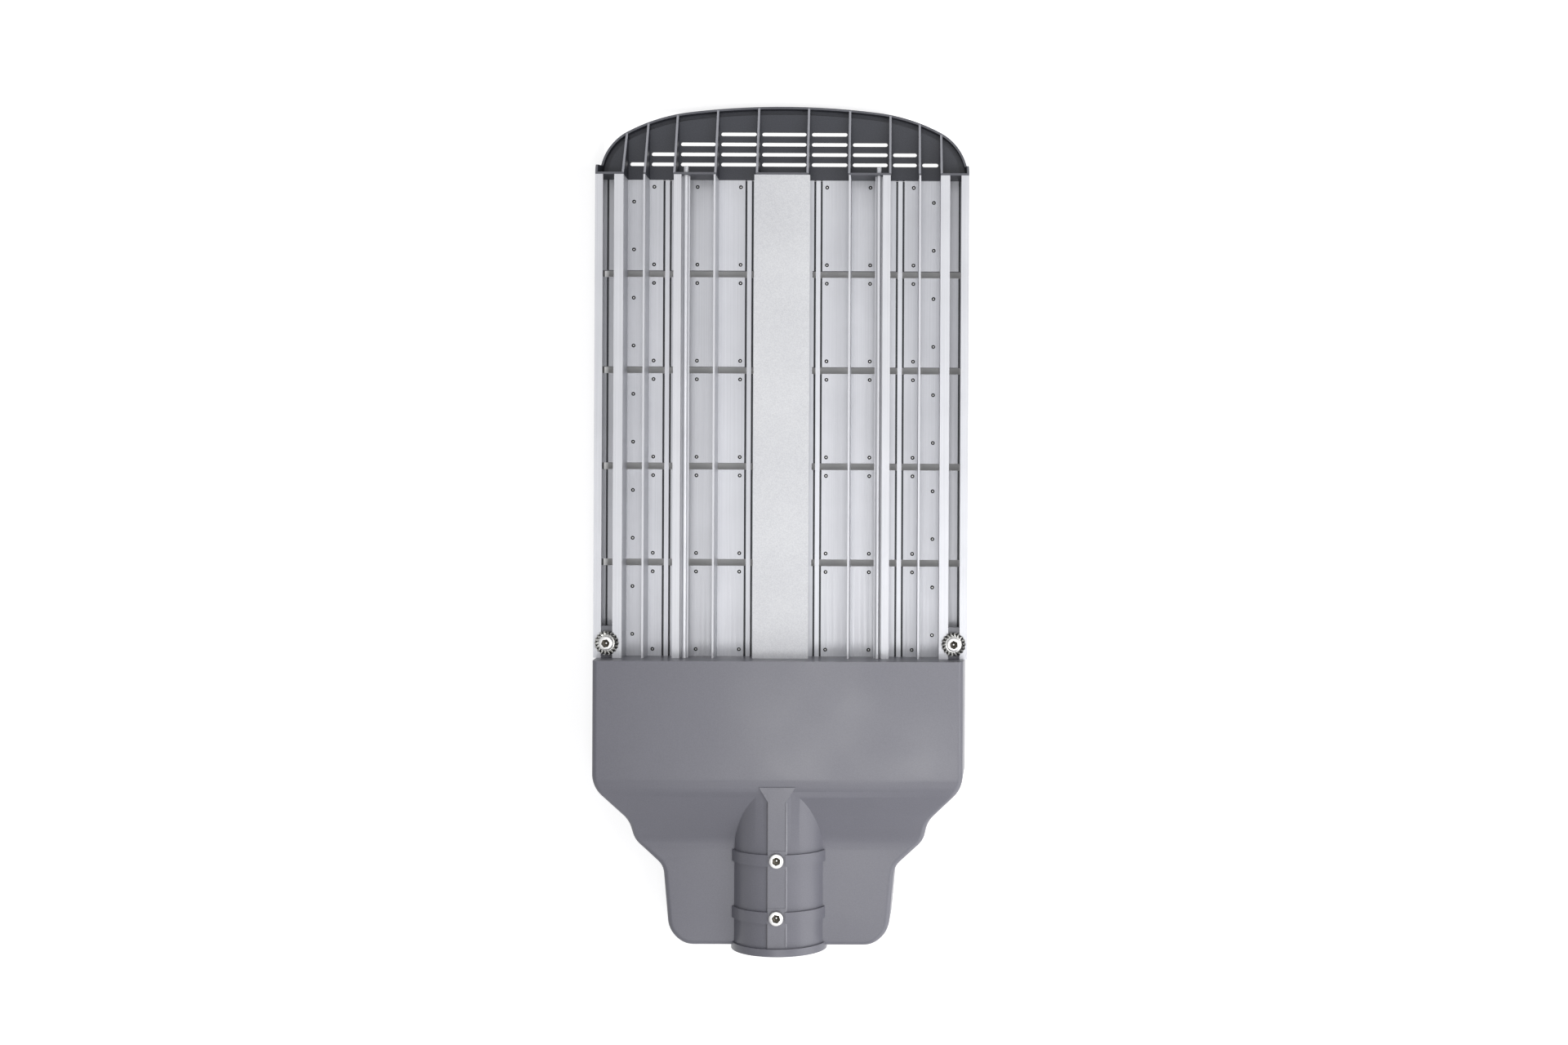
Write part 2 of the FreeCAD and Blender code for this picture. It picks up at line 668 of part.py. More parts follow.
def build_front_cap():
    body = new_body("front_end_cap")
    outline = new_sketch(body, "outline", "XY_Plane", "underside")
    draw_arch(outline, "0", "cap_tail")
    pad(body, outline, "fin_top - underside")
    joint = new_sketch(body, "joint_plane", "XY_Plane", "underside - overshoot")
    behind = f"{SINK_END} - 2 * cap_tail"
    draw_polygon(joint, rectangle("-half_width - overshoot", behind, "half_width + overshoot", SINK_END))
    pocket(body, joint, "fin_top - underside + 2 * overshoot", reverse=True)
    upper = new_sketch(body, "upper_hollow", "XY_Plane", "fin_top")
    draw_arch(upper, "cap_wall", "cap_tail")
    pocket(body, upper, "fin_top - base_top")
    trough_foot = "base_top - trough_depth - cap_floor"
    for name, inset, level in (
        ("lower_hollow", "cap_wall", trough_foot),
        ("floor_hollow", "(cap_wall + trough_width + cap_floor)", "base_top - cap_floor"),
    ):
        hollow = new_sketch(body, name, "XY_Plane", "underside")
        draw_arch(hollow, inset, "cap_tail")
        pocket(body, hollow, f"{level} - underside", reverse=True)
    trough = new_sketch(body, "trough", "XY_Plane", "base_top")
    draw_arch(trough, "cap_wall", "cap_tail")
    draw_arch(trough, "(cap_wall + trough_width)", "trough_tail")
    pocket(body, trough, "trough_depth")
    drop = new_sketch(body, "rim_drop", "YZ_Plane", "half_width + overshoot")
    draw_polygon(drop, [
        (f"{SINK_END} + cap_shoulder_start", "fin_top + overshoot"),
        (f"{SINK_END} + cap_shoulder_end", RIM_TOP),
        (f"{SINK_END} + cap_reach + overshoot", RIM_TOP),
        (f"{SINK_END} + cap_reach + overshoot", "fin_top + overshoot"),
    ])
    pocket(body, drop, "2 * half_width + 2 * overshoot")
    ribs = []
    rib_foot = "base_top - cap_floor / 2"
    deep_foot = f"{rib_foot} - trough_depth"
    for name, place in RIBS.items():
        rib = new_sketch(body, name, "YZ_Plane", f"{place} - rib_thickness / 2")
        front = f"{arch_reach(place)} + cap_wall / 2"
        step = f"{front} - trough_width - 1.5 * cap_wall"
        draw_polygon(rib, [
            (SINK_END, rib_foot),
            (SINK_END, "fin_top"),
            (f"{SINK_END} + rib_flat", "fin_top"),
            (front, RIM_TOP),
            (front, deep_foot),
            (step, deep_foot),
            (step, rib_foot),
        ])
        ribs.append(pad(body, rib, "rib_thickness"))
    for name, left, right in (
        ("rod_end_wall", RIB_SECOND, RIB_THIRD),
        ("channel_end_wall", RIB_OUTER, "half_width - cap_wall / 2"),
    ):
        wall = new_sketch(body, name, "XZ_Plane", f"-({SINK_END})")
        draw_polygon(wall, rectangle(left, "base_top - trough_depth - cap_floor", right, "fin_top"))
        ribs.append(pad(body, wall, "cap_wall", reverse=True))
    mirror(body, ribs)
    duct_wall = new_sketch(body, "duct_end_wall", "XZ_Plane", f"-({SINK_END})")
    draw_polygon(duct_wall, rectangle(f"-{RIB_INNER}", rib_foot, RIB_INNER, "fin_top"))
    pad(body, duct_wall, "cap_wall", reverse=True)
    slots = new_sketch(body, "air_slots", "XY_Plane", "base_top")
    outer_ends = list(RIBS.values())
    inner_ends = ["0"] + outer_ends[:-1]
    for rows, inner, outer in zip(AIR_SLOT_ROWS, inner_ends, outer_ends):
        left = f"{inner} + air_slot_margin" if inner != "0" else f"-({outer} - air_slot_margin)"
        for row in range(rows):
            y = f"{SINK_END} + air_slot_first + air_slot_step * {row}"
            draw_slot(slots, left, f"{outer} - air_slot_margin", y, "air_slot_width")
    slot_cut = pocket(body, slots, "base_thickness")
    mirror(body, [slot_cut])
    rod_hole = new_sketch(body, "rod_hole", "XZ_Plane", f"-({SINK_END})")
    draw_circle(rod_hole, ROD_PLACE, "rod_level", "rod_radius + rod_clearance")
    rod_cut = pocket(body, rod_hole, "cap_wall")
    mirror(body, [rod_cut])


# Driver housing: one casting with the pole socket.

HOUSING_CORNERS = [
    ("half_width", "sink_start"),
    ("half_width", "shoulder_y"),
    ("waist_half_width", "waist_y"),
    ("hip_half_width", "hip_y"),
    ("neck_half_width", "neck_y"),
    ("tail_half_width", "tail_y"),
]
CORNER_RADII = ["shoulder_radius", "shoulder_radius", "hip_radius", "neck_radius", "tail_radius"]
SLANT = "(half_width - waist_half_width) / (shoulder_y - waist_y)"
LID_LEVEL = "underside + cover_recess"


def lid_outline(inset):
    """The outline of the cover below the driver, moved inwards from the housing's own outline."""
    side = f"half_width - ({inset})"
    turn = f"shoulder_y + ({inset}) * tan(22.5)"
    rear = f"cover_rear_y + ({inset}) - cover_inset"
    rear_side = f"{side} - ({turn} - ({rear})) * {SLANT}"
    return mirrored_outline([(side, f"sink_start - ({inset})"), (side, turn), (rear_side, rear)])


def cavity_outline(grow):
    """The opening of the driver compartment, made larger by grow on every side."""
    return mirrored_outline([
        (f"{CAVITY_SIDE} + {grow}", f"sink_start - front_wall + {grow}"),
        (f"{CAVITY_SIDE} + {grow}", f"cavity_rear_y - {grow} * tan(22.5)"),
        (f"{CHAMBER_SIDE} + {grow} * tan(22.5)", f"chamber_rear_y - {grow}"),
    ])


BOSSES = [
    (f"({CAVITY_SIDE} - boss_inset)", "boss_front_y", "housing_top - roof_thickness"),
    (f"({CAVITY_SIDE} - boss_inset)", "boss_rear_y", "housing_top - roof_thickness"),
    (f"({CHAMBER_SIDE} - boss_chamber_inset)", "boss_chamber_y", "deck_level - roof_thickness"),
]


def crease_at(y):
    """Picks the edge across the housing where its slope begins or ends."""

    def chosen(edge):
        box = edge.BoundBox
        return box.XMax > 1 and box.XMin < -1 and abs(box.YMin - value(y)) < 0.01 and box.YLength < 0.01

    return chosen


def on_top_rim(edge):
    """The edges where the housing's sides meet its roof, slope and deck, without the joint's edge."""
    box = edge.BoundBox
    if box.ZMin < value("deck_level") - 0.01 or box.YMin > value("sink_start") - 0.01:
        return False
    crossing = box.XMax > 1 and box.XMin < -1
    return not (crossing and box.YMax > value("tail_y") + 1)


def build_housing():
    body = new_body("driver_housing")
    outline = new_sketch(body, "outline", "XY_Plane", "underside")
    draw_polygon(outline, mirrored_outline(HOUSING_CORNERS))
    shape = pad(body, outline, "housing_top - underside")
    for corner, radius in zip(HOUSING_CORNERS[1:], CORNER_RADII):
        both = [corner, (f"-({corner[0]})", corner[1])]
        shape = fillet(body, shape, upright_edge_at(both), radius)
    side = new_sketch(body, "side_profile", "YZ_Plane", "half_width + overshoot")
    draw_polygon(side, [
        ("-overshoot", "deck_level"),
        ("slope_foot_y", "deck_level"),
        ("slope_top_y", "housing_top"),
        ("slope_top_y", "housing_top + overshoot"),
        ("-overshoot", "housing_top + overshoot"),
    ])
    shape = pocket(body, side, "2 * half_width + 2 * overshoot")
    shape = fillet(body, shape, crease_at("slope_foot_y"), "crease_radius")
    shape = fillet(body, shape, crease_at("slope_top_y"), "crease_radius")
    fillet(body, shape, on_top_rim, "edge_radius")
    tube = new_sketch(body, "spigot_tube", "XZ_Plane")
    draw_circle(tube, "0", "0", "spigot_radius")
    pad(body, tube, "slope_top_y", reverse=True)
    for name, start, width, radius in (
        ("end_collar", "0", "collar_width", "collar_radius"),
        ("rear_ring", "rear_ring_y - ring_width / 2", "ring_width", "ring_radius"),
        ("front_ring", "front_ring_y - ring_width / 2", "ring_width", "ring_radius"),
    ):
        ring = new_sketch(body, name, "XZ_Plane", f"-({start})")
        draw_circle(ring, "0", "0", radius)
        pad(body, ring, width, reverse=True)
    strip = new_sketch(body, "pad_strip", "XZ_Plane", "-collar_width")
    inside = "bore_radius + overshoot"
    draw_polygon(strip, rectangle("-pad_strip_width / 2", inside, "pad_strip_width / 2", "pad_strip_top"))
    pad(body, strip, "slope_top_y - collar_width", reverse=True)
    spot_face = new_sketch(body, "screw_flat", "XY_Plane", "pad_strip_top")
    across = ("-pad_strip_width / 2", "pad_strip_width / 2")
    draw_polygon(spot_face, rectangle(across[0], "collar_width", across[1], "slope_top_y"))
    pocket(body, spot_face, "collar_radius", reverse=True)
    relief = new_sketch(body, "strip_relief", "XY_Plane", "pad_strip_top")
    for low, high in (
        ("collar_width", "rear_ring_y - screw_pad_length / 2"),
        ("rear_ring_y + screw_pad_length / 2", "front_ring_y - screw_pad_length / 2"),
        ("front_ring_y + screw_pad_length / 2", "slope_top_y"),
    ):
        draw_polygon(relief, rectangle(across[0], low, across[1], high))
    pocket(body, relief, "strip_relief")
    flare = new_sketch(body, "strip_flare", "XY_Plane", inside)
    wide = "strip_flare_width / 2"
    narrow = "pad_strip_width / 2"
    draw_polygon(flare, [
        (f"-({narrow})", "slope_top_y - strip_flare_length"),
        (narrow, "slope_top_y - strip_flare_length"),
        (wide, "slope_top_y + overshoot"),
        (f"-({wide})", "slope_top_y + overshoot"),
    ])
    pad(body, flare, f"housing_top - ({inside})")
    foot = new_sketch(body, "foot_trim", "XY_Plane", "underside")
    foot_side = "(collar_radius + overshoot)"
    draw_polygon(foot, rectangle(f"-{foot_side}", "-overshoot", foot_side, "slope_top_y"))
    pocket(body, foot, "collar_radius")
    bore = new_sketch(body, "pole_bore", "XZ_Plane")
    draw_circle(bore, "0", "0", "bore_radius")
    pocket(body, bore, "bore_depth")
    recess = new_sketch(body, "lid_recess", "XY_Plane", "underside")
    draw_polygon(recess, lid_outline("cover_inset"))
    pocket(body, recess, "cover_recess", reverse=True)
    low = new_sketch(body, "low_cavity", "XY_Plane", "underside")
    draw_polygon(low, cavity_outline("0"))
    pocket(body, low, "deck_level - roof_thickness - underside", reverse=True)
    high = new_sketch(body, "high_cavity", "XY_Plane", "underside")
    cavity_front = "sink_start - front_wall"
    draw_polygon(high, rectangle(f"-{CAVITY_SIDE}", "cavity_rear_y", CAVITY_SIDE, cavity_front))
    pocket(body, high, "housing_top - roof_thickness - underside", reverse=True)
    for number, (x, y, top) in enumerate(BOSSES):
        boss = new_sketch(body, f"boss_{number}", "XY_Plane", LID_LEVEL)
        for sign in (1, -1):
            draw_circle(boss, times(sign, x), y, "boss_radius")
            draw_circle(boss, times(sign, x), y, "lid_screw_radius + thread_clearance")
        pad(body, boss, f"{top} - ({LID_LEVEL})")
    gland_hole = new_sketch(body, "gland_hole", "XZ_Plane", "-(bore_depth - overshoot)")
    draw_circle(gland_hole, "0", "gland_level", "gland_thread_radius + thread_clearance")
    pocket(body, gland_hole, "chamber_rear_y - bore_depth + 2 * overshoot")
    wire_hole = new_sketch(body, "front_wall_holes", "XZ_Plane", "-(sink_start - front_wall - overshoot)")
    draw_circle(wire_hole, "0", "wire_hole_level", "wire_hole_radius")
    for sign in (1, -1):
        draw_circle(wire_hole, times(sign, ROD_PLACE), "rod_level", "rod_radius + rod_clearance")
    pocket(body, wire_hole, "front_wall + 2 * overshoot")
    tongues = new_sketch(body, "tongues", "XZ_Plane", "-sink_start")
    screw_holes = new_sketch(body, "tongue_holes", "XY_Plane", f"{LIP_FOOT} - tongue_clearance")
    roof_holes = new_sketch(body, "driver_screw_holes", "XY_Plane", "housing_top - roof_thickness")
    clamp_holes = new_sketch(body, "clamp_holes", "XY_Plane", "pad_strip_top")
    for sign in (1, -1):
        middle = times(sign, CHANNEL_MIDDLE)
        top = f"{LIP_FOOT} - tongue_clearance"
        left = f"{middle} - tongue_width / 2"
        right = f"{middle} + tongue_width / 2"
        draw_polygon(tongues, rectangle(left, f"{top} - tongue_height", right, top))
        screw_y = "sink_start + housing_screw_y"
        draw_circle(screw_holes, middle, screw_y, "clamp_shank_radius + thread_clearance")
        screw_x = times(sign, DRIVER_SCREW)
        draw_circle(roof_holes, screw_x, "driver_middle_y", "driver_screw_radius + thread_clearance")
    for y in ("front_ring_y", "rear_ring_y"):
        draw_circle(clamp_holes, "0", y, "clamp_shank_radius + thread_clearance")
    pad(body, tongues, "tongue_length", reverse=True)
    pocket(body, screw_holes, "tongue_height")
    pocket(body, roof_holes, "driver_screw_bite + screw_hole_spare", reverse=True)
    pocket(body, clamp_holes, "pad_strip_top - bore_radius + overshoot")


def build_driver_cover():
    body = new_body("driver_cover")
    plate = new_sketch(body, "plate", "XY_Plane", "underside")
    draw_polygon(plate, lid_outline("cover_inset + lid_clearance"))
    pad(body, plate, "lid_thickness")
    holes = new_sketch(body, "screw_holes", "XY_Plane", "underside")
    sinks = new_sketch(body, "head_recesses", "XY_Plane", "underside")
    for x, y, _ in BOSSES:
        for sign in (1, -1):
            draw_circle(holes, times(sign, x), y, "lid_screw_radius + thread_clearance")
            draw_circle(sinks, times(sign, x), y, "lid_screw_head_radius + lid_clearance")
    pocket(body, holes, "lid_thickness", reverse=True)
    pocket(body, sinks, "lid_screw_head_height", reverse=True)


def build_cover_gasket():
    body = new_body("driver_cover_gasket")
    ring = new_sketch(body, "ring", "XY_Plane", "underside + lid_thickness")
    draw_polygon(ring, lid_outline("cover_inset + 2 * lid_clearance"))
    draw_polygon(ring, cavity_outline("lid_clearance"))
    pad(body, ring, "cover_recess - lid_thickness")


def build_cover_screws():
    """Countersunk in the cover's recesses, flush below and reaching up into the bosses."""
    body = new_body("driver_cover_screws")
    heads = new_sketch(body, "heads", "XY_Plane", "underside")
    shanks = new_sketch(body, "shanks", "XY_Plane", "underside + lid_screw_head_height")
    for x, y, _ in BOSSES:
        for sign in (1, -1):
            draw_circle(heads, times(sign, x), y, "lid_screw_head_radius")
            draw_circle(shanks, times(sign, x), y, "lid_screw_radius")
    pad(body, heads, "lid_screw_head_height")
    pad(body, shanks, "lid_screw_length")


# Driver and the other pieces inside the housing.

ROOF = "housing_top - roof_thickness"
DRIVER_TOP = f"{ROOF} - driver_seat_gap"


def build_led_driver():
    """The sealed driver with a fixing foot at each end, close under the housing's roof."""
    body = new_body("led_driver")
    case = new_sketch(body, "case", "XY_Plane", f"{DRIVER_TOP} - driver_height")
    low = "driver_middle_y - driver_width / 2"
    high = "driver_middle_y + driver_width / 2"
    draw_polygon(case, rectangle(f"-{DRIVER_END}", low, DRIVER_END, high))
    block = pad(body, case, "driver_height")
    ends = rectangle(f"-{DRIVER_END}", low, DRIVER_END, high)
    fillet(body, block, upright_edge_at(ends), "driver_edge")
    feet = new_sketch(body, "feet", "XY_Plane", f"{DRIVER_TOP} - driver_foot_thickness")
    reach = f"{DRIVER_END} + driver_foot_length"
    foot_low = "driver_middle_y - driver_foot_width / 2"
    foot_high = "driver_middle_y + driver_foot_width / 2"
    draw_polygon(feet, rectangle(f"-({reach})", foot_low, reach, foot_high))
    pad(body, feet, "driver_foot_thickness")
    holes = new_sketch(body, "foot_holes", "XY_Plane", DRIVER_TOP)
    for sign in (1, -1):
        x = times(sign, DRIVER_SCREW)
        draw_circle(holes, x, "driver_middle_y", "driver_screw_radius + thread_clearance")
    pocket(body, holes, "driver_foot_thickness")


def build_driver_screws():
    body = new_body("driver_screws")
    foot = f"{DRIVER_TOP} - driver_foot_thickness"
    heads = new_sketch(body, "heads", "XY_Plane", f"{foot} - driver_screw_head_height")
    shanks = new_sketch(body, "shanks", "XY_Plane", foot)
    for sign in (1, -1):
        x = times(sign, DRIVER_SCREW)
        draw_circle(heads, x, "driver_middle_y", "driver_screw_head_radius")
        draw_circle(shanks, x, "driver_middle_y", "driver_screw_radius")
    pad(body, heads, "driver_screw_head_height")
    pad(body, shanks, "driver_foot_thickness + driver_seat_gap + driver_screw_bite")


def build_chamber_block(label, kind):
    """A block under the low roof beside the cable gland."""
    block = document.addObject("Part::Box", label)
    block.setExpression("Length", bound(f"{kind}_length"))
    block.setExpression("Width", bound(f"{kind}_width"))
    block.setExpression("Height", bound(f"{kind}_height"))
    block.setExpression("Placement.Base.x", bound(f"{kind}_place - {kind}_length / 2"))
    block.setExpression("Placement.Base.y", bound(f"chamber_part_y - {kind}_width / 2"))
    level = f"deck_level - roof_thickness - driver_seat_gap - {kind}_height"
    block.setExpression("Placement.Base.z", bound(level))
    parts[label] = block


def build_cable_gland():
    """Turned about the cable's own line, with its flange against the chamber's rear wall."""
    body = new_body("cable_gland")
    section = new_sketch(body, "section", "YZ_Plane")
    flange = "chamber_rear_y"
    dome = f"{flange} + gland_flange_thickness"
    draw_polygon(section, [
        ("bore_depth + gland_clearance", "gland_level + gland_bore_radius"),
        ("bore_depth + gland_clearance", "gland_level + gland_thread_radius"),
        (flange, "gland_level + gland_thread_radius"),
        (flange, "gland_level + gland_flange_radius"),
        (dome, "gland_level + gland_flange_radius"),
        (dome, "gland_level + gland_dome_radius"),
        (f"{dome} + gland_dome_length", "gland_level + gland_dome_radius - gland_dome_narrowing"),
        (f"{dome} + gland_dome_length", "gland_level + gland_bore_radius"),
    ])
    axis = sketch_axis(section, "gland_level")
    revolve(body, section, axis)


def sketch_axis(sketch, level):
    """A level construction line in the sketch, to turn its outline about."""
    line = sketch.addGeometry(Part.LineSegment(spot("0", level), spot("10", level)), True)
    pin(sketch, line, 1, "0", level)
    pin(sketch, line, 2, "10", level)
    return "Axis0"


# Screws and washers seen from above.


def build_socket_screws(label, seat, tip, head_radius, head_height, places):
    """Socket head screws on a seat, each a shank below it and a round head with a hexagon hole."""
    body = new_body(label)
    shanks = new_sketch(body, "shanks", "XY_Plane", seat)
    heads = new_sketch(body, "heads", "XY_Plane", seat)
    sockets = new_sketch(body, "sockets", "XY_Plane", f"{seat} + {head_height}")
    for x, y in places:
        draw_circle(shanks, x, y, "clamp_shank_radius")
        draw_circle(heads, x, y, head_radius)
        draw_hexagon(sockets, x, y, "hex_key_radius")
    pad(body, heads, head_height)
    pad(body, shanks, f"{seat} - ({tip})", reverse=True)
    pocket(body, sockets, "hex_key_depth")


def build_star_washers():
    """Flat rings with pointed teeth all round, on the lips of the heat sinks."""
    body = new_body("star_washers")
    rings = new_sketch(body, "rings", "XY_Plane", "fin_top")
    teeth = round(value("washer_teeth"))
    y = "sink_start + housing_screw_y"
    for sign in (1, -1):
        x = times(sign, CHANNEL_MIDDLE)
        corners = []
        for corner in range(2 * teeth):
            reach = "washer_outer_radius" if corner % 2 else "washer_root_radius"
            turn = 180 * corner / teeth
            corners.append((f"{x} + {reach} * cos({turn})", f"{y} + {reach} * sin({turn})"))
        draw_polygon(rings, corners)
        draw_circle(rings, x, y, "washer_hole_radius")
    pad(body, rings, "washer_thickness")


# Lens modules below the base.

SEAL_BOTTOM = f"{BASE_BOTTOM} - seal_thickness"
PLATE_TOP = f"{BASE_BOTTOM} - board_thickness"


def module_centre(sign, row):
    return times(sign, "module_place"), f"{FIRST_MODULE} + module_pitch * {row}"


def box_about(centre, length, width):
    """The corners of a rectangle about a centre."""
    x, y = centre
    half_length = f"({length}) / 2"
    half_width = f"({width}) / 2"
    low = (f"{x} - {half_length}", f"{y} - {half_width}")
    high = (f"{x} + {half_length}", f"{y} + {half_width}")
    return rectangle(*low, *high)


def build_lens_plate(label, centre):
    """A moulded plate with a raised edge round the board, and a dome below each light source."""
    body = new_body(label)
    plate = new_sketch(body, "plate", "XY_Plane", SEAL_BOTTOM)
    outline = box_about(centre, "lens_length", "lens_width")
    draw_polygon(plate, outline)
    depth = "board_thickness - seal_thickness + lens_thickness"
    block = pad(body, plate, depth, reverse=True)
    fillet(body, block, upright_edge_at(outline), "lens_corner")
    tray = new_sketch(body, "board_tray", "XY_Plane", SEAL_BOTTOM)
    inner = "- 2 * (seal_margin + seal_width)"
    draw_polygon(tray, box_about(centre, f"lens_length {inner}", f"lens_width {inner}"))
    pocket(body, tray, "board_thickness - seal_thickness")
    domes = new_sketch(body, "domes", "XY_Plane", f"{PLATE_TOP} - lens_thickness")
    columns = round(value("dome_columns"))
    rows = round(value("dome_rows"))
    for column in range(columns):
        x = f"{centre[0]} + dome_pitch_x * ({column} - (dome_columns - 1) / 2)"
        for row in range(rows):
            y = f"{centre[1]} + dome_pitch_y * ({row} - (dome_rows - 1) / 2)"
            draw_circle(domes, x, y, "dome_radius")
    pad(body, domes, "dome_height", reverse=True, taper="-dome_taper")


def build_led_board(label, centre):
    """The circuit board behind one lens plate, flat against the base of the heat sink."""
    board = document.addObject("Part::Box", label)
    board.setExpression("Length", bound("lens_length - 2 * board_margin"))
    board.setExpression("Width", bound("lens_width - 2 * board_margin"))
    board.setExpression("Height", bound("board_thickness"))
    x, y = centre
    board.setExpression("Placement.Base.x", bound(f"{x} - lens_length / 2 + board_margin"))
    board.setExpression("Placement.Base.y", bound(f"{y} - lens_width / 2 + board_margin"))
    board.setExpression("Placement.Base.z", bound(PLATE_TOP))
    parts[label] = board


def build_module_seals(centres):
    """A flat ring of rubber between each lens plate and the base, ten alike."""
    body = new_body("module_seals")
    rings = new_sketch(body, "rings", "XY_Plane", SEAL_BOTTOM)
    outer = "- 2 * seal_margin"
    inner = "- 2 * (seal_margin + seal_width)"
    for centre in centres:
        draw_polygon(rings, box_about(centre, f"lens_length {outer}", f"lens_width {outer}"))
        draw_polygon(rings, box_about(centre, f"lens_length {inner}", f"lens_width {inner}"))
    pad(body, rings, "seal_thickness")


def build_modules():
    centres = []
    for side, sign in (("left", -1), ("right", 1)):
        for row in range(round(value("module_rows"))):
            centre = module_centre(sign, row)
            centres.append(centre)
            build_lens_plate(f"lens_plate_{side}_{row + 1}", centre)
            build_led_board(f"led_board_{side}_{row + 1}", centre)
    build_module_seals(centres)


build_front_cap()
for side, sign in (("left", -1), ("right", 1)):
    build_heat_sink(side, sign)
    build_strip(f"inner_strip_{side}", sign, "inner_groove")
    build_strip(f"outer_strip_{side}", sign, OUTER_GROOVE)
    build_tie_rod(side, sign)
build_rod_nuts()
build_duct_cover()
build_housing()
build_driver_cover()
build_cover_gasket()
build_cover_screws()
build_led_driver()
build_driver_screws()
build_chamber_block("terminal_block", "terminal")
build_chamber_block("surge_protector", "surge")
build_cable_gland()
CLAMP_TIP = "bore_radius + clamp_tip_clearance"
build_socket_screws(
    "pole_clamp_screws", "pad_strip_top", CLAMP_TIP, "clamp_head_radius", "clamp_head_height",
    [("0", "front_ring_y"), ("0", "rear_ring_y")])
WASHER_TOP = "fin_top + washer_thickness"
build_socket_screws(
    "housing_screws", WASHER_TOP, f"{WASHER_TOP} - joint_shank_length", "joint_head_radius",
    "joint_head_height",
    [(times(sign, CHANNEL_MIDDLE), "sink_start + housing_screw_y") for sign in (1, -1)])
build_star_washers()
build_modules()
document.recompute()

# Every object has to be sound before anything is written.

for item in document.Objects:
    if "Invalid" in item.State or "Error" in item.State:
        raise RuntimeError(f"{item.Label} did not build: {item.State}")
for label, item in parts.items():
    if item.Shape.isNull() or not item.Shape.isValid():
        raise RuntimeError(f"{label} has no valid shape")

os.makedirs("parts", exist_ok=True)
for label, item in parts.items():
    item.Shape.exportStep(os.path.join("parts", label + ".step"))
    print(label, len(item.Shape.Solids), "solids", round(item.Shape.Volume / 1000, 1), "cm3")
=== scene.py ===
import math

import bmesh
import bpy
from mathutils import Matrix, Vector


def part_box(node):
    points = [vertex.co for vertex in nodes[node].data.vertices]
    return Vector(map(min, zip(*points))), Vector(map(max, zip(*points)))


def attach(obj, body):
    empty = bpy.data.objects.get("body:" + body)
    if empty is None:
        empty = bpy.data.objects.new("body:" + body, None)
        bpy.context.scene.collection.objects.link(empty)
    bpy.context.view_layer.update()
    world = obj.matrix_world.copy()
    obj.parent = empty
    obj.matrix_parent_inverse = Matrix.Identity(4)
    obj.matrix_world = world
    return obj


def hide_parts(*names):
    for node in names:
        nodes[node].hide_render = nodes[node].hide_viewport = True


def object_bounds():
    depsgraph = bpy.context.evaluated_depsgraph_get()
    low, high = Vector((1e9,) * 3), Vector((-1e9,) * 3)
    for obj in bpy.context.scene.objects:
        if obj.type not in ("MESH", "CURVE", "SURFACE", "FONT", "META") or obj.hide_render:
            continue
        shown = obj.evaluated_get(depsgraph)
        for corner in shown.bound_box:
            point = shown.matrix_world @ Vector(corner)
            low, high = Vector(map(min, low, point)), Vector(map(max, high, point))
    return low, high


# LED street light head, seen from its finned side and lying on its lens side. +Y runs from the
# pole socket to the front cap and +Z is up. Blender works in metres. The sizes of the head's
# pieces are written in millimetres, as on its drawing, and MM turns them into metres.

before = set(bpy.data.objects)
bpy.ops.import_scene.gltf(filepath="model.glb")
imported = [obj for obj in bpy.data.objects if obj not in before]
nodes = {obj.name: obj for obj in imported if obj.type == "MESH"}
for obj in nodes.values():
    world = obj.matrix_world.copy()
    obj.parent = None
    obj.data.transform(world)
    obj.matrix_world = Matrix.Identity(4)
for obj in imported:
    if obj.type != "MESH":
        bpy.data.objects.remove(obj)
cad_low, cad_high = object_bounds()
MM = 0.001
BODY = "root"

# Levels: both faces of the sinks' base, the tops of their fins, and the lens plates' underside.
BASE_TOP = -21.0
BASE_BOTTOM = -26.0
FIN_TOP = 4.0
PLATE_FOOT = -29.6


def middle(node):
    """The middle of a node's box."""
    low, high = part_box(node)
    return (low + high) / 2


# Shader nodes.

COLOUR = "NodeSocketColor"
NUMBER = "NodeSocketFloat"


def new_group(name, inputs, outputs):
    """A shader group with number or colour sockets, given as (name, kind, start value)."""
    group = bpy.data.node_groups.new(name, "ShaderNodeTree")
    for label, kind, start in inputs:
        socket = group.interface.new_socket(label, in_out="INPUT", socket_type=kind)
        socket.default_value = start
    for label, kind in outputs:
        group.interface.new_socket(label, in_out="OUTPUT", socket_type=kind)
    return group, group.nodes.new("NodeGroupInput"), group.nodes.new("NodeGroupOutput")


def add(tree, kind, **settings):
    """A new node with its settings."""
    node = tree.nodes.new(kind)
    for name, setting in settings.items():
        setattr(node, name, setting)
    return node


def link(tree, start, end):
    tree.links.new(start, end)


def put(tree, setting, socket):
    """Links a socket to another one, or gives it a plain value."""
    if hasattr(setting, "node"):
        link(tree, setting, socket)
    else:
        socket.default_value = setting


def stretched_position(tree, scale):
    """Object coordinates multiplied by a scale along each axis."""
    place = add(tree, "ShaderNodeTexCoord")
    mapping = add(tree, "ShaderNodeMapping")
    mapping.inputs["Scale"].default_value = scale
    link(tree, place.outputs["Object"], mapping.inputs["Vector"])
    return mapping.outputs["Vector"]


def noise(tree, vector, scale, detail):
    """A noise texture; scale is a number or a socket."""
    texture = add(tree, "ShaderNodeTexNoise")
    texture.inputs["Detail"].default_value = detail
    link(tree, vector, texture.inputs["Vector"])
    put(tree, scale, texture.inputs["Scale"])
    return texture.outputs["Fac"]


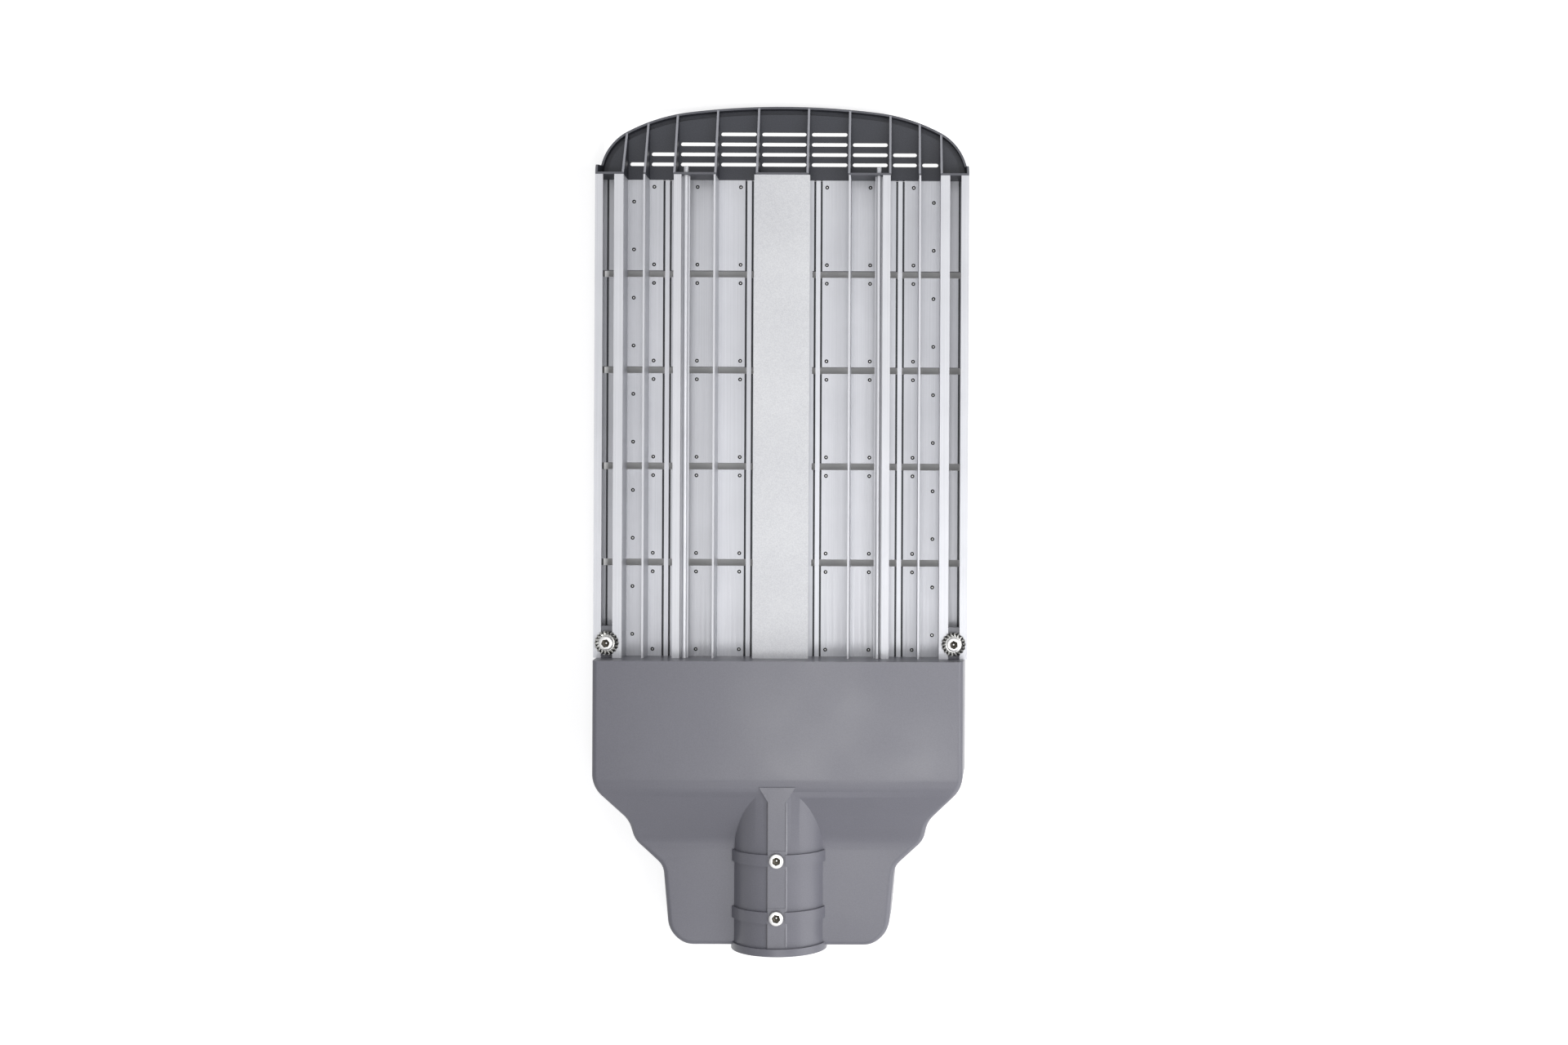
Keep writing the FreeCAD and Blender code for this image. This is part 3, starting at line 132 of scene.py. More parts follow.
def remap(tree, value, start, end, low=0.0, high=1.0):
    """The value's range from start to end moved to the range from low to high."""
    ramp = add(tree, "ShaderNodeMapRange")
    link(tree, value, ramp.inputs["Value"])
    ramp.inputs["From Min"].default_value = start
    ramp.inputs["From Max"].default_value = end
    put(tree, low, ramp.inputs["To Min"])
    put(tree, high, ramp.inputs["To Max"])
    return ramp.outputs["Result"]


def spread(tree, mask, low, high):
    """A noise mask opened out to the range between two values or sockets."""
    return remap(tree, mask, 0.3, 0.7, low, high)


def combine(tree, operation, first, second):
    """Two values or sockets put through a sum, a product or another operation."""
    node = add(tree, "ShaderNodeMath", operation=operation)
    put(tree, first, node.inputs[0])
    put(tree, second, node.inputs[1])
    return node.outputs[0]


def absolute(tree, value):
    """A value without its sign."""
    return combine(tree, "ABSOLUTE", value, 0.0)


def mix_colour(tree, mask, first, second):
    """The first colour where the mask is 0, and the second where it is 1."""
    mixer = add(tree, "ShaderNodeMix", data_type="RGBA")
    link(tree, mask, mixer.inputs["Factor"])
    put(tree, first, mixer.inputs["A"])
    put(tree, second, mixer.inputs["B"])
    return mixer.outputs["Result"]


def separate(tree, vector):
    """The three parts of a vector."""
    parts = add(tree, "ShaderNodeSeparateXYZ")
    link(tree, vector, parts.inputs[0])
    return tuple(parts.outputs)


def position(tree):
    """The three coordinates of a point on the surface."""
    return separate(tree, add(tree, "ShaderNodeNewGeometry").outputs["Position"])


def facing(tree):
    """The three parts of the direction in which the surface faces."""
    return separate(tree, add(tree, "ShaderNodeNewGeometry").outputs["Normal"])


def screen(red, green, blue):
    """A linear colour for a colour given as it looks on screen, from 0 to 255."""

    def linear(part):
        part = part / 255
        return part / 12.92 if part <= 0.04045 else ((part + 0.055) / 1.055) ** 2.4

    return (linear(red), linear(green), linear(blue), 1)


# Effects that several finishes share.

CAST_CLOUD_SCALE = 14.0
METAL_CLOUD_SCALE = 22.0
METAL_STRETCH = (900, 6, 900)
CLOUD_DETAIL = 3.0
SPECKLE_DETAIL = 2.0
STREAK_DETAIL = 3.0


def build_cast_skin():
    """Powder coat on a casting: clouds of tone, a fine speckle and an orange-peel height."""
    tree, start, end = new_group(
        "cast_skin",
        [("Shade", COLOUR, screen(90, 90, 90)), ("Light", COLOUR, screen(110, 110, 110)),
         ("Speckle Scale", NUMBER, 900.0),
         ("Gloss Low", NUMBER, 0.45), ("Gloss High", NUMBER, 0.6)],
        [("Colour", COLOUR), ("Roughness", NUMBER), ("Height", NUMBER)])
    place = stretched_position(tree, (1, 1, 1))
    clouds = noise(tree, place, CAST_CLOUD_SCALE, CLOUD_DETAIL)
    speckle = noise(tree, place, start.outputs["Speckle Scale"], SPECKLE_DETAIL)
    blend = combine(tree, "ADD", spread(tree, speckle, 0.0, 0.6), spread(tree, clouds, 0.0, 0.4))
    colour = mix_colour(tree, blend, start.outputs["Shade"], start.outputs["Light"])
    link(tree, colour, end.inputs["Colour"])
    rough = spread(tree, clouds, start.outputs["Gloss Low"], start.outputs["Gloss High"])
    link(tree, rough, end.inputs["Roughness"])
    link(tree, speckle, end.inputs["Height"])
    return tree


def build_drawn_metal():
    """Extruded or drawn metal: fine streaks along Y, faint clouds and a small grain."""
    tree, start, end = new_group(
        "drawn_metal",
        [("Shade", COLOUR, screen(180, 180, 180)), ("Light", COLOUR, screen(210, 210, 210)),
         ("Streak Scale", NUMBER, 1.0),
         ("Gloss Low", NUMBER, 0.3), ("Gloss High", NUMBER, 0.45)],
        [("Colour", COLOUR), ("Roughness", NUMBER), ("Height", NUMBER)])
    along = stretched_position(tree, METAL_STRETCH)
    streaks = noise(tree, along, start.outputs["Streak Scale"], STREAK_DETAIL)
    clouds = noise(tree, stretched_position(tree, (1, 1, 1)), METAL_CLOUD_SCALE, CLOUD_DETAIL)
    both = combine(tree, "ADD", spread(tree, streaks, 0.0, 0.65), spread(tree, clouds, 0.0, 0.35))
    colour = mix_colour(tree, both, start.outputs["Shade"], start.outputs["Light"])
    link(tree, colour, end.inputs["Colour"])
    rough = spread(tree, streaks, start.outputs["Gloss Low"], start.outputs["Gloss High"])
    link(tree, rough, end.inputs["Roughness"])
    link(tree, streaks, end.inputs["Height"])
    return tree


CAST_SKIN = build_cast_skin()
DRAWN_METAL = build_drawn_metal()

# How far the roughness of a finish ranges, and the height in metres of its bumps.
CAST_GLOSS_RANGE = 0.12
CAST_DEPTH = 0.0002
DRAWN_GLOSS_RANGE = 0.15
DRAWN_DEPTH = 0.0001
DRAWN_GRAIN = 0.25


def build_finish(name, group, metallic, bump_strength, depth, values, **plain):
    """A material whose colour, roughness and bump come from a shared group."""
    material = bpy.data.materials.new(name)
    material.use_nodes = True
    tree = material.node_tree
    shader = tree.nodes["Principled BSDF"]
    effect = add(tree, "ShaderNodeGroup", node_tree=group)
    for label, setting in values.items():
        effect.inputs[label].default_value = setting
    bump = add(tree, "ShaderNodeBump")
    bump.inputs["Strength"].default_value = bump_strength
    bump.inputs["Distance"].default_value = depth
    link(tree, effect.outputs["Height"], bump.inputs["Height"])
    link(tree, effect.outputs["Colour"], shader.inputs["Base Color"])
    link(tree, effect.outputs["Roughness"], shader.inputs["Roughness"])
    link(tree, bump.outputs["Normal"], shader.inputs["Normal"])
    shader.inputs["Metallic"].default_value = metallic
    for label, setting in plain.items():
        shader.inputs[label.replace("_", " ")].default_value = setting
    return material


def cast_finish(name, shade, light, speckle, gloss, peel=0.12, **plain):
    """Powder coat or plastic; peel is how strongly its speckle stands up."""
    values = {"Shade": screen(*shade), "Light": screen(*light), "Speckle Scale": speckle,
              "Gloss Low": gloss, "Gloss High": gloss + CAST_GLOSS_RANGE}
    return build_finish(name, CAST_SKIN, 0.0, peel, CAST_DEPTH, values, **plain)


def drawn_finish(name, shade, light, gloss, metallic):
    """Bare metal with streaks along Y."""
    values = {"Shade": screen(*shade), "Light": screen(*light),
              "Gloss Low": gloss, "Gloss High": gloss + DRAWN_GLOSS_RANGE}
    return build_finish(name, DRAWN_METAL, metallic, DRAWN_GRAIN, DRAWN_DEPTH, values)


def tint_where(material, mask_of, tint):
    """Mixes a colour into a finish where a mask, built in its own tree, is high."""
    tree = material.node_tree
    socket = tree.nodes["Principled BSDF"].inputs["Base Color"]
    before = socket.links[0].from_socket
    link(tree, mix_colour(tree, mask_of(tree), before, screen(*tint)), socket)


def ridge_highlight_mask(tree):
    """High on the sloping tops of the cap's ribs and a little on the level top of its rim, as a
    painted highlight.
    """
    _, forward, up = facing(tree)
    _, _, level = position(tree)
    leaning = remap(tree, forward, 0.12, 0.2)
    sloping = combine(tree, "MULTIPLY", leaning, remap(tree, up, 0.45, 0.6))
    above_floor = remap(tree, level, (BASE_TOP + 2.0) * MM, (BASE_TOP + 2.8) * MM)
    rim = combine(tree, "MULTIPLY", above_floor, remap(tree, up, 0.95, 0.99, 0.0, 0.2))
    return combine(tree, "MAXIMUM", sloping, rim)


def groove_shade_mask(tree):
    """High below the level of the base, as painted shade on the grooves, the holes, the sinks'
    underside and the lower part of their outer walls, but not on the milled ends, which face along
    Y."""
    _, _, level = position(tree)
    _, forward, _ = facing(tree)
    deep = remap(tree, level, (BASE_TOP - 0.05) * MM, (BASE_TOP - 0.6) * MM)
    not_milled = remap(tree, absolute(tree, forward), 0.95, 0.99, 1.0, 0.0)
    return combine(tree, "MULTIPLY", deep, not_milled)


def tongue_shade_mask(tree):
    """High on the housing's tongues, which reach past the joint into the sinks' channels, as
    painted shade.
    """
    _, forward, _ = position(tree)
    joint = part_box("heat_sink_left")[0].y
    return remap(tree, forward, joint + 0.2 * MM, joint + 0.6 * MM)


# Finishes: the darker and the paler colour, then for paint and plastic the scale of the speckle
# and the gloss, and for metal the gloss and how metallic it is.

CAP_PAINT = cast_finish("cap_paint", (41, 43, 52), (56, 58, 66), 1100.0, 0.42)
# Painted highlight on the tops of the cap's ribs and its rim.
tint_where(CAP_PAINT, ridge_highlight_mask, (176, 177, 185))
HOUSING_PAINT = cast_finish("housing_paint", (107, 107, 116), (117, 117, 126), 1300.0, 0.27,
                            Specular_IOR_Level=0.45)
# Painted shade on the tongues where they lie in the sinks' channels.
tint_where(HOUSING_PAINT, tongue_shade_mask, (110, 111, 118))
# Painted highlight for the right neck bead and painted shade for the left one.
BEAD_HIGHLIGHT_PAINT = cast_finish("bead_highlight_paint", (126, 126, 134), (144, 144, 152), 1300.0, 0.25)
CREASE_SHADE_PAINT = cast_finish("crease_shade_paint", (76, 76, 82), (90, 90, 96), 1300.0, 0.4)
ALUMINIUM = drawn_finish("extruded_aluminium", (194, 195, 200), (214, 215, 220), 0.36, 0.3)
# Painted shade on the sinks' aluminium below the level of the base.
tint_where(ALUMINIUM, groove_shade_mask, (54, 55, 60))
COVER_SHEET = cast_finish("speckled_cover", (214, 215, 220), (241, 242, 245), 1150.0, 0.45,
                          peel=0.35)
STEEL = drawn_finish("bright_steel", (200, 201, 206), (222, 223, 228), 0.36, 0.35)
# Darker steel inside the screws' hexagon holes, as painted shade.
KEY_SHADE_STEEL = drawn_finish("key_shade_steel", (46, 43, 37), (96, 91, 80), 0.35, 0.5)
STAINLESS = drawn_finish("stainless_steel", (190, 190, 191), (216, 215, 214), 0.3, 0.9)
SPRING_STEEL = drawn_finish("spring_steel", (126, 126, 126), (204, 204, 201), 0.16, 1.0)
RUBBER = cast_finish("black_rubber", (36, 36, 37), (50, 50, 51), 500.0, 0.7)
DRIVER_CASE = drawn_finish("driver_case", (188, 189, 193), (210, 211, 215), 0.4, 0.6)
BLACK_PLASTIC = cast_finish("black_plastic", (42, 42, 44), (56, 56, 58), 600.0, 0.5)
BOARD = cast_finish("white_board", (224, 226, 226), (238, 239, 238), 300.0, 0.4)
LENS = cast_finish("lens_plastic", (238, 240, 242), (248, 249, 250), 80.0, 0.05,
                   Transmission_Weight=0.92, IOR=1.49)
PHOSPHOR = cast_finish("light_source", (226, 190, 74), (240, 208, 100), 2500.0, 0.3)


def dress(piece, material):
    """Gives a piece one material."""
    piece.data.materials.clear()
    piece.data.materials.append(material)


# Each node takes the finish of the longest name here that its own name starts with.
FINISHES = {
    "front_end_cap": CAP_PAINT,
    "driver_housing": HOUSING_PAINT,
    "driver_cover": HOUSING_PAINT,
    "heat_sink": ALUMINIUM,
    "duct_cover": COVER_SHEET,
    "inner_strip": STEEL,
    "outer_strip": STEEL,
    "tie_rod": STEEL,
    "driver_screws": STEEL,
    "driver_cover_screws": STAINLESS,
    "driver_cover_gasket": RUBBER,
    "module_seals": RUBBER,
    "led_driver": DRIVER_CASE,
    "terminal_block": BLACK_PLASTIC,
    "surge_protector": BLACK_PLASTIC,
    "cable_gland": BLACK_PLASTIC,
    "pole_clamp_screws": STAINLESS,
    "housing_screws": STAINLESS,
    "star_washers": SPRING_STEEL,
    "lens_plate": LENS,
    "led_board": BOARD,
}

for name, piece in nodes.items():
    begun = [start for start in FINISHES if name.startswith(start)]
    dress(piece, FINISHES[max(begun, key=len)])


# Added pieces. Their forms are built in millimetres.

SMOOTH_ANGLE = math.radians(35)
SECOND = 1  # a piece's second material


def new_piece(name, shape, materials, replaced=()):
    """Turns a finished bmesh into a piece of the head, in place of the nodes it replaces."""
    bmesh.ops.recalc_face_normals(shape, faces=shape.faces)
    for edge in shape.edges:
        if len(edge.link_faces) == 2:
            edge.smooth = edge.calc_face_angle() < SMOOTH_ANGLE
    for face in shape.faces:
        face.smooth = True
    bmesh.ops.scale(shape, vec=Vector((MM, MM, MM)), verts=shape.verts)
    mesh = bpy.data.meshes.new(name)
    for material in materials:
        mesh.materials.append(material)
    shape.to_mesh(mesh)
    shape.free()
    piece = bpy.data.objects.new(name, mesh)
    bpy.context.scene.collection.objects.link(piece)
    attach(piece, BODY)
    if replaced:
        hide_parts(*replaced)


def join_rings(shape, rings, material=0):
    """Faces between one ring of vertices and the next; a ring of one vertex is a point."""
    for first, second in zip(rings, rings[1:]):
        count = max(len(first), len(second))
        for step in range(count):
            following = (step + 1) % count
            corners = [first[step % len(first)], first[following % len(first)],
                       second[following % len(second)], second[step % len(second)]]
            unique = list(dict.fromkeys(corners))
            if len(unique) > 2:
                shape.faces.new(unique).material_index = material


def close_ends(shape, rings, last_material=0):
    """Faces over the first and the last ring."""
    shape.faces.new(rings[0])
    shape.faces.new(rings[-1]).material_index = last_material


def turn(shape, centre, profile, segments, material=0):
    """A form turned about an upright line. Each step of the profile is a radius, or a function
    of the angle that gives one, and a level above the centre."""
    rings = []
    for radius, level in profile:
        if radius == 0:
            rings.append([shape.verts.new((centre[0], centre[1], centre[2] + level))])
            continue
        ring = []
        for step in range(segments):
            angle = 2 * math.pi * step / segments
            reach = radius(angle) if callable(radius) else radius
            spot = (centre[0] + reach * math.cos(angle), centre[1] + reach * math.sin(angle),
                    centre[2] + level)
            ring.append(shape.verts.new(spot))
        rings.append(ring)
    join_rings(shape, rings, material)


def hexagon(reach, start=0.0):
    """The outline of a hexagon hole as a function of the angle; reach is half its width."""

    def radius(angle):
        side = (angle - start) % (math.pi / 3) - math.pi / 6
        return reach / math.cos(side)

    return radius


# Socket head screws: through the washers into the housing's tongues, and on the pole socket.

SHANK_RADIUS = 3.0
KEY_REACH = 2.9
KEY_MOUTH_REACH = 3.1
KEY_DEPTH = 3.0
DRILL_RADIUS = 0.75
SCREW_SEGMENTS = 48


def add_socket_screw(shape, centre, head, height, shank_length, turned):
    """A cap screw with a chamfered head, a hexagon hole with a drilled foot in darker steel as
    painted shade, and its shank.
    """
    key = hexagon(KEY_REACH, turned)
    key_mouth = hexagon(KEY_MOUTH_REACH, turned)
    foot = height - KEY_DEPTH
    drill_edge = (DRILL_RADIUS, foot - 1.0)
    turn(shape, centre, [
        (0, -shank_length), (SHANK_RADIUS - 0.5, -shank_length),
        (SHANK_RADIUS, -shank_length + 0.6), (SHANK_RADIUS, 0.0), (head - 0.15, 0.0), (head, 0.2),
        (head, height - 0.7), (head - 0.2, height - 0.25), (head - 0.7, height),
        (key_mouth, height),
    ], SCREW_SEGMENTS)
    turn(shape, centre, [
        (key_mouth, height), (key, height - 0.25), (key, foot), (2.3, foot - 0.1), drill_edge,
    ], SCREW_SEGMENTS, SECOND)
    turn(shape, centre, [drill_edge, (0.6, foot - 0.8), (0, foot - 0.7)], SCREW_SEGMENTS)


# Star washers below the joint screws.

WASHER_REACH = 10.0
WASHER_THICKNESS = 0.9
WASHER_HOLE = 3.3
WASHER_RING = 6.6
WASHER_CHAMFER = 0.1
# The thin dark disc below each washer, painted shade between its teeth: its reach and thickness.
SHADE_DISC_REACH = 9.4
SHADE_DISC_THICKNESS = 0.15
WASHER_SEGMENTS = 54
TEETH = 18
TOOTH_HALF_THICKNESS = 0.3
# Sections of a tooth from its root: reach, half width, twist in degrees, and rise.
TOOTH_SECTIONS = [
    (6.2, 0.75, 4, 0.55), (7.0, 1.0, 24, 0.8), (8.2, 1.2, 42, 1.1),
    (9.5, 1.25, 46, 1.15), (9.9, 0.95, 46, 1.15),
]


def add_tooth(shape, centre, angle):
    """A tooth that twists from the ring until it stands across it like a blade."""
    outward = Vector((math.cos(angle), math.sin(angle), 0))
    along = Vector((-math.sin(angle), math.cos(angle), 0))
    rings = []
    for reach, half, twist, rise in TOOTH_SECTIONS:
        lean = math.radians(twist)
        across = along * math.cos(lean) + Vector((0, 0, math.sin(lean)))
        normal = Vector((0, 0, math.cos(lean))) - along * math.sin(lean)
        seat = Vector(centre) + outward * reach + Vector((0, 0, rise))
        thick = TOOTH_HALF_THICKNESS
        corners = ((half, thick), (-half, thick), (-half, -thick), (half, -thick))
        rings.append([shape.verts.new(seat + across * a + normal * b) for a, b in corners])
    join_rings(shape, rings)
    close_ends(shape, rings)


def add_star_washer(shape, centre):
    """A ring with eighteen twisted teeth, on a thin black rubber disc that is painted shade
    between the teeth.
    """
    hole, ring, chamfer = WASHER_HOLE, WASHER_RING, WASHER_CHAMFER
    foot, top = SHADE_DISC_THICKNESS, WASHER_THICKNESS
    turn(shape, centre, [
        (hole, foot + chamfer), (hole + chamfer, foot), (ring - chamfer, foot),
        (ring, foot + chamfer), (ring, top - chamfer), (ring - chamfer, top),
        (hole + chamfer, top), (hole, top - chamfer), (hole, foot + chamfer),
    ], WASHER_SEGMENTS)
    turn(shape, centre, [
        (hole, 0.0), (SHADE_DISC_REACH - chamfer, 0.0), (SHADE_DISC_REACH, 0.08),
        (SHADE_DISC_REACH - chamfer, foot), (hole, foot), (hole, 0.0),
    ], WASHER_SEGMENTS, SECOND)
    for tooth in range(TEETH):
        add_tooth(shape, centre, 2 * math.pi * tooth / TEETH)


JOINT_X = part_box("star_washers")[1].x / MM - WASHER_REACH
JOINT_Y = middle("star_washers").y / MM
JOINT_HEAD = 5.75
JOINT_HEIGHT = 6.0
JOINT_SHANK = 13.0

shape = bmesh.new()
for sign in (-1, 1):
    add_star_washer(shape, (sign * JOINT_X, JOINT_Y, FIN_TOP))
new_piece("toothed_washers", shape, [SPRING_STEEL, RUBBER], ["star_washers"])

shape = bmesh.new()
for sign, turned in ((-1, 0.15), (1, 0.6)):
    seat = (sign * JOINT_X, JOINT_Y, FIN_TOP + WASHER_THICKNESS)
    add_socket_screw(shape, seat, JOINT_HEAD, JOINT_HEIGHT, JOINT_SHANK, turned)
new_piece("joint_cap_screws", shape, [STAINLESS, KEY_SHADE_STEEL], ["housing_screws"])

clamp_low, clamp_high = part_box("pole_clamp_screws")
CLAMP_HEAD = 5.8
CLAMP_HEIGHT = 4.6
CLAMP_SEAT = clamp_high.z / MM - CLAMP_HEIGHT
CLAMP_SHANK = CLAMP_SEAT - clamp_low.z / MM

shape = bmesh.new()
for y, turned in ((clamp_high.y / MM - CLAMP_HEAD, 0.45), (clamp_low.y / MM + CLAMP_HEAD, 0.85)):
    seat = (0.0, y, CLAMP_SEAT)
    add_socket_screw(shape, seat, CLAMP_HEAD, CLAMP_HEIGHT, CLAMP_SHANK, turned)
new_piece("clamp_cap_screws", shape, [STAINLESS, KEY_SHADE_STEEL], ["pole_clamp_screws"])


# The driver housing as it leaves its mould: its upper walls lean inwards by the draft, and the
# pole socket is a little wider outside than it is high. The source has both without draft.

DRAFT_FOOT = -10.0
DRAFT_TOP = 35.0
DRAFT_REACH = 4.6
DRAFT_INNER_X = 60.0
DRAFT_OUTER_X = 85.0
STRIP_HALF_WIDTH = 7.2
SOCKET_SIDE_X = 2.5 * STRIP_HALF_WIDTH
# The tube, the clamp bands and the collar: the radii between which each one's outside lies, and
# by which share it is wider.
SOCKET_LAYERS = [(34.0, 36.5, 0.085), (37.4, 38.2, 0.045), (38.3, 38.8, 0.02)]
WELD_DISTANCE = 0.001


def share(value, start, end):
    """How far a value lies from start to end, from 0 to 1."""
    return min(max((value - start) / (end - start), 0.0), 1.0)


def add_draft(spot):
    """Moves a point of the housing sideways to where the mould's draft puts it."""
    outward = share(abs(spot.x), DRAFT_INNER_X, DRAFT_OUTER_X)
    upward = share(spot.z, DRAFT_FOOT, DRAFT_TOP)
    spot.x -= math.copysign(DRAFT_REACH * outward * upward, spot.x)


def widen_socket(spot):
    """Moves a point on the outside of the pole socket away from its middle line."""
    reach = math.hypot(spot.x, spot.z)
    for low, high, growth in SOCKET_LAYERS:
        if low < reach < high and spot.y < JOINT_Y:
            spot.x *= 1 + growth * share(abs(spot.x), STRIP_HALF_WIDTH, SOCKET_SIDE_X)
            return


shape = bmesh.new()
shape.from_mesh(nodes["driver_housing"].data)
bmesh.ops.scale(shape, vec=Vector((1 / MM, 1 / MM, 1 / MM)), verts=shape.verts)
bmesh.ops.remove_doubles(shape, verts=shape.verts, dist=WELD_DISTANCE)
for vertex in shape.verts:
    add_draft(vertex.co)
    widen_socket(vertex.co)
new_piece("housing_shell", shape, [HOUSING_PAINT], ["driver_housing"])


# Beads along the edges of the strip on the neck, where the casting's halves met. The right bead's
# paler paint is a painted highlight, and the left bead's dark paint is painted shade for a crease.

BEAD_START = 6.0
BEAD_END = 124.0
BEAD_FADE = 2.0
BEAD_TIP = 0.3
BEAD_STEPS = 6
STRIP_TOP = 34.8


def add_bead(shape, x, reach):
    """A half-round bead along Y that fades into the strip at both ends."""
    rings = []
    for place, size in ((BEAD_START, BEAD_TIP), (BEAD_START + BEAD_FADE, 1.0),
                        (BEAD_END - BEAD_FADE, 1.0), (BEAD_END, BEAD_TIP)):
        ring = []
        for step in range(BEAD_STEPS + 1):
            angle = math.pi * step / BEAD_STEPS
            ring.append(shape.verts.new((x + size * reach * math.cos(angle), place,
                                         STRIP_TOP + size * reach * math.sin(angle))))
        rings.append(ring)
    join_rings(shape, rings)
    close_ends(shape, rings)


for side, x, reach, paint in (("left", -7.4, 0.6, CREASE_SHADE_PAINT), ("right", 7.6, 0.9, BEAD_HIGHLIGHT_PAINT)):
    shape = bmesh.new()
    add_bead(shape, x, reach)
    new_piece(f"neck_bead_{side}", shape, [paint])


# Each lens module: its side, that side's sign along X, its row, and the middle of its board.

MODULES = [(side, sign, row, middle(f"led_board_{side}_{row}") / MM)
           for side, sign in (("left", -1), ("right", 1)) for row in range(1, 6)]


# Module screws pass down through the base and hold the lens plates with their heads.

# Places of a module's screws from its middle: across, counted outwards, and to both ends.
SCREW_PLACES = [(-44.1, 32.3), (-8.1, 32.3), (27.9, 32.3), (44.7, 19.9)]
TIP_LEVEL = BASE_TOP - 0.25
TIP_RADIUS = 0.5
# The dark rubber ring that fills each screw's hole, painted shade round the tip.
SHADE_RING_RADIUS = 1.58
THREAD_RADIUS = 0.95
HEAD_RADIUS = 2.6
HEAD_HEIGHT = 1.5
MODULE_KEY_REACH = 1.25
MODULE_KEY_DEPTH = 0.9
MODULE_SCREW_SEGMENTS = 18


def add_module_screw(shape, x, y):
    """A screw seen from above as a bright tip in a dark rubber ring that fills its hole as painted
    shade, with a round head below the lens plate."""
    axis = (x, y, 0.0)
    tip_edge = (0.6, TIP_LEVEL - 0.12)
    head_top = (THREAD_RADIUS, PLATE_FOOT)
    head_foot = PLATE_FOOT - HEAD_HEIGHT
    key = hexagon(MODULE_KEY_REACH)
    turn(shape, axis, [(0, TIP_LEVEL), (TIP_RADIUS, TIP_LEVEL), tip_edge], MODULE_SCREW_SEGMENTS)
    turn(shape, axis, [
        tip_edge, (0.75, TIP_LEVEL - 0.5), (1.4, TIP_LEVEL - 0.7), (SHADE_RING_RADIUS, TIP_LEVEL - 1.0),
        (SHADE_RING_RADIUS, BASE_BOTTOM + 0.2), (THREAD_RADIUS, BASE_BOTTOM), head_top,
    ], MODULE_SCREW_SEGMENTS, SECOND)
    turn(shape, axis, [
        head_top, (2.5, PLATE_FOOT), (HEAD_RADIUS, PLATE_FOOT - 0.3), (2.3, PLATE_FOOT - 1.1),
        (1.7, head_foot), (key, head_foot), (key, head_foot + MODULE_KEY_DEPTH),
        (0, head_foot + MODULE_KEY_DEPTH),
    ], MODULE_SCREW_SEGMENTS)


shape = bmesh.new()
for _, sign, _, centre in MODULES:
    for across, along in SCREW_PLACES:
        for end in (-1, 1):
            add_module_screw(shape, centre.x + sign * across, centre.y + end * along)
new_piece("module_screws", shape, [STAINLESS, RUBBER])


# Lens plates with twelve domes each, and the light sources behind them.

DOME_PITCH_X = 24.0
DOME_PITCH_Y = 20.0
DOME_PLACES = [((column - 1.5) * DOME_PITCH_X, (row - 1) * DOME_PITCH_Y)
               for column in range(4) for row in range(3)]
DOME_FLANGE = 7.2
DOME_RADIUS = 6.5
DOME_HEIGHT = 4.0
DOME_STEPS = 7
DOME_SEGMENTS = 28
# Outlines of a lens plate: half its length, half its width, and its corner radius.
BOARD_POCKET = (49.0, 33.0, 2.5)
PLATE_EDGE = (52.0, 36.0, 4.0)
PLATE_FOOT_EDGE = (51.3, 35.3, 3.4)
POCKET_DEPTH = 1.4
CORNER_STEPS = 6
SEAL_HEIGHT = 1.0
CORNER_SIGNS = ((1, 1), (-1, 1), (-1, -1), (1, -1))


def rounded_ring(shape, centre, outline, level):
    """A closed ring of vertices round a rectangle with rounded corners."""
    half_x, half_y, corner = outline
    ring = []
    for quarter, (sign_x, sign_y) in enumerate(CORNER_SIGNS):
        for step in range(CORNER_STEPS + 1):
            angle = math.pi / 2 * (quarter + step / CORNER_STEPS)
            x = centre.x + sign_x * (half_x - corner) + corner * math.cos(angle)
            y = centre.y + sign_y * (half_y - corner) + corner * math.sin(angle)
            ring.append(shape.verts.new((x, y, level)))
    return ring


def add_lens_plate(shape, centre):
    """A tray with a raised edge round its board, a softened outer edge and twelve lenses below."""
    edge = BASE_BOTTOM - SEAL_HEIGHT
    rings = [
        rounded_ring(shape, centre, BOARD_POCKET, edge - POCKET_DEPTH),
        rounded_ring(shape, centre, BOARD_POCKET, edge),
        rounded_ring(shape, centre, PLATE_EDGE, edge),
        rounded_ring(shape, centre, PLATE_EDGE, PLATE_FOOT + 0.7),
        rounded_ring(shape, centre, PLATE_FOOT_EDGE, PLATE_FOOT),
    ]
    join_rings(shape, rings)
    close_ends(shape, rings)
    dome_top = PLATE_FOOT + 0.1
    dome_seat = PLATE_FOOT - 0.5
    for across, along in DOME_PLACES:
        lens = [(0, dome_top), (DOME_FLANGE, dome_top), (DOME_FLANGE, PLATE_FOOT - 0.3),
                (DOME_RADIUS, dome_seat)]
        for step in range(1, DOME_STEPS):
            angle = math.pi / 2 * step / DOME_STEPS
            lens.append((DOME_RADIUS * math.cos(angle), dome_seat - DOME_HEIGHT * math.sin(angle)))
        lens.append((0, dome_seat - DOME_HEIGHT))
        turn(shape, (centre.x + across, centre.y + along, 0.0), lens, DOME_SEGMENTS)


# A light source hangs below the board: half its width and the level below its top, from the
# board round the frame to the edge of the yellow face.
SOURCE_TOP = BASE_BOTTOM - 1.6
SOURCE_STEPS = [(2.0, 0.0), (2.0, 0.5), (1.6, 0.6), (1.55, 0.5)]


